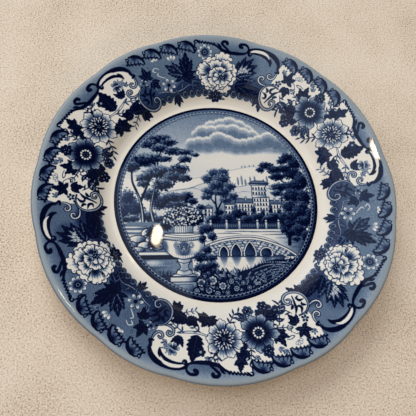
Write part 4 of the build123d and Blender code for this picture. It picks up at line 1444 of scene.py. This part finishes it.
def centre_print():
    design = centre_canvas()
    for part in CENTRE_PARTS:
        part(design)
    flat, faces = disc(CENTRE_PRINT_RADIUS, CENTRE_RINGS)
    # the canvas, read at the disc's points
    spacing = float(design.x[0, 1] - design.x[0, 0])
    u = (flat[:, 0] - design.x[0, 0]) / spacing
    v = (flat[:, 1] - design.y[0, 0]) / spacing
    u0, v0 = u.astype(int), v.astype(int)
    fu, fv = u - u0, v - v0
    low, high = (design.ink[v, u0] * (1 - fu) + design.ink[v, u0 + 1] * fu for v in (v0, v0 + 1))
    points = np.column_stack([flat, np.full(len(flat), WELL_HEIGHT + PRINT_LIFT)])
    picture = mesh_object("centre_print_picture", points, faces, print_ink)
    with_ink(picture, low * (1 - fv) + high * fv)
    finish_piece(picture, "cobalt_ink", "centre_print")


def edge_tint():
    angles = np.arange(0, 360, TINT_STEP)
    rows = []
    for degrees in angles:
        whole = section_at(degrees, PRINT_LIFT)
        lip = int(np.argmax(whole[:, 0]))
        edge = whole[lip - LIP_ROWS_BEFORE : lip + LIP_ROWS_AFTER]
        radii = np.linspace(BORDER_OUTER, edge[0, 0], TINT_ROWS + 1)[:-1]
        rows.append(np.vstack([np.column_stack([radii, top_height(radii, PRINT_LIFT, degrees)]), edge]))
    rows = np.array(rows)
    band = mesh_object("edge_tint_and_lip_shade_band", *lathe(rows, angles), tint_ink)
    # the tint's rows, then the lip's rows with their painted shade
    depth = np.concatenate([np.linspace(*TINT_OUTWARD, TINT_ROWS), TINT_AND_SHADE_ON_LIP])
    with_ink(band, np.broadcast_to(depth, rows.shape[:2]))
    finish_piece(band, "edge_tint", "edge_tint")


print_ink = ink_material("cobalt_print", PRINT_TONES, 0.42)
tint_ink = ink_material("edge_tint_ink", TINT_TONES, 0.16)
glazed, bare = glazed_clay(), bare_clay()
glazed_body()
for spur in range(3):
    spur_mark(spur + 1, 120.0 * spur)
border_prints()
centre_print()
edge_tint()

# ---------------------------------------------------------------- floor, camera and lights
AZIMUTH, TILT, DISTANCE = 4.34355, 0.334945, 363.56  # radians, radians and mm
TARGET = Vector((-7.216, -6.417, 6.5))
LENS, SENSOR = 44.74, 36
FLOOR_SIZE = 8  # m

# name, place, size, watts, colour. They are hidden from the glaze, which would mirror them as white squares
WINDOWS = (
    ("window", (-0.42, 1.62, 1.50), (1.3, 1.0), 26, (0.93, 0.97, 1.0)),
    ("side_window", (-1.85, 0.60, 1.40), (0.9, 1.0), 10, (0.98, 0.98, 1.0)),
    ("skylight", (0.10, 0.35, 2.10), (1.2, 1.2), 13, (0.98, 0.98, 1.0)),
    ("warm_fill", (0.30, -1.70, 1.10), (1.2, 0.8), 8, (1.0, 0.70, 0.36)),
)
LAMP_AIM = (0.003, 0.45, 0)

ROOM_HEIGHT = [(0.0, (0.27, 0.24, 0.21)), (0.5, (0.21, 0.20, 0.19)), (0.82, (0.08, 0.075, 0.075)),
               (0.9, (0.03, 0.03, 0.035))]
ROOM_RIGHT = [(0.15, (1, 1, 1)), (0.6, (0.3, 0.3, 0.3))]
ROOM_LEFT = [(0.1, (0, 0, 0)), (0.36, (0.55, 0.55, 0.66)), (0.56, (0.5, 0.5, 0.6)), (0.76, (0, 0, 0))]


def add_floor():
    bpy.ops.mesh.primitive_plane_add(size=FLOOR_SIZE)
    floor = bpy.context.object
    floor.name = "floor"
    floor.data.materials.append(pale_floor())


def add_camera():
    """The photo's own viewpoint. The plate's x axis runs to the right in it."""
    back = Vector((math.sin(TILT) * math.cos(AZIMUTH), math.sin(TILT) * math.sin(AZIMUTH), math.cos(TILT)))
    right = (Vector((1, 0, 0)) - back * back.x).normalized()
    data = bpy.data.cameras.new("camera")
    data.sensor_width = SENSOR
    data.lens = LENS
    camera = bpy.data.objects.new("camera", data)
    bpy.context.scene.collection.objects.link(camera)
    columns = (right, back.cross(right), back, (TARGET + back * DISTANCE) * MM)
    camera.matrix_world = Matrix([[column[row] for column in columns] for row in range(3)] + [(0, 0, 0, 1)])
    bpy.context.scene.camera = camera


def area_light(name, place, aim, size, watts, colour, shape="RECTANGLE"):
    data = bpy.data.lights.new(name, "AREA")
    data.shape = shape
    data.size, data.size_y = size
    data.energy = watts
    data.color = colour
    light = bpy.data.objects.new(name, data)
    bpy.context.scene.collection.objects.link(light)
    light.location = place
    light.rotation_euler = (Vector(aim) - Vector(place)).to_track_quat("-Z", "Y").to_euler()
    return light


def add_lights():
    for name, place, size, watts, colour in WINDOWS:
        area_light(name, place, (0, 0, 0), size, watts, colour).visible_glossy = False
    area_light("ceiling_panel", (-0.14, 0.42, 2.0), (-0.14, 0.42, 0), (0.56, 0.86), 0.85, (0.74, 0.87, 1.0))
    area_light("lamp", (0.003, 0.570, 2.228), LAMP_AIM, (0.058, 0.118), 0.41, (1.0, 0.89, 0.68), "ELLIPSE")
    area_light("lamp_glow", (0.003, 0.572, 2.236), LAMP_AIM, (0.068, 0.138), 0.20, (1.0, 0.78, 0.50),
               "ELLIPSE")


def room_light():
    """Light from all round: warm and low, dark straight above, less on the right and more on the left."""
    world = bpy.data.worlds.new("studio")
    world.use_nodes = True
    room = Shading(world.node_tree)
    split = room.add("SeparateXYZ")
    room.links.new(room.add("TexCoord").outputs["Generated"], split.inputs[0])
    toward_left = room.math("MULTIPLY", split.outputs["X"], -1.0)
    both = room.add("VectorMath", operation="MULTIPLY_ADD")
    sources = ((split.outputs["Z"], ROOM_HEIGHT), (split.outputs["X"], ROOM_RIGHT), (toward_left, ROOM_LEFT))
    room.feed(both.inputs, [room.ramp(source, stops) for source, stops in sources])
    room.links.new(both.outputs[0], room.nodes["Background"].inputs[0])
    bpy.context.scene.world = world


add_floor()
add_camera()
add_lights()
room_light()
bpy.context.scene.view_settings.view_transform = "Standard"
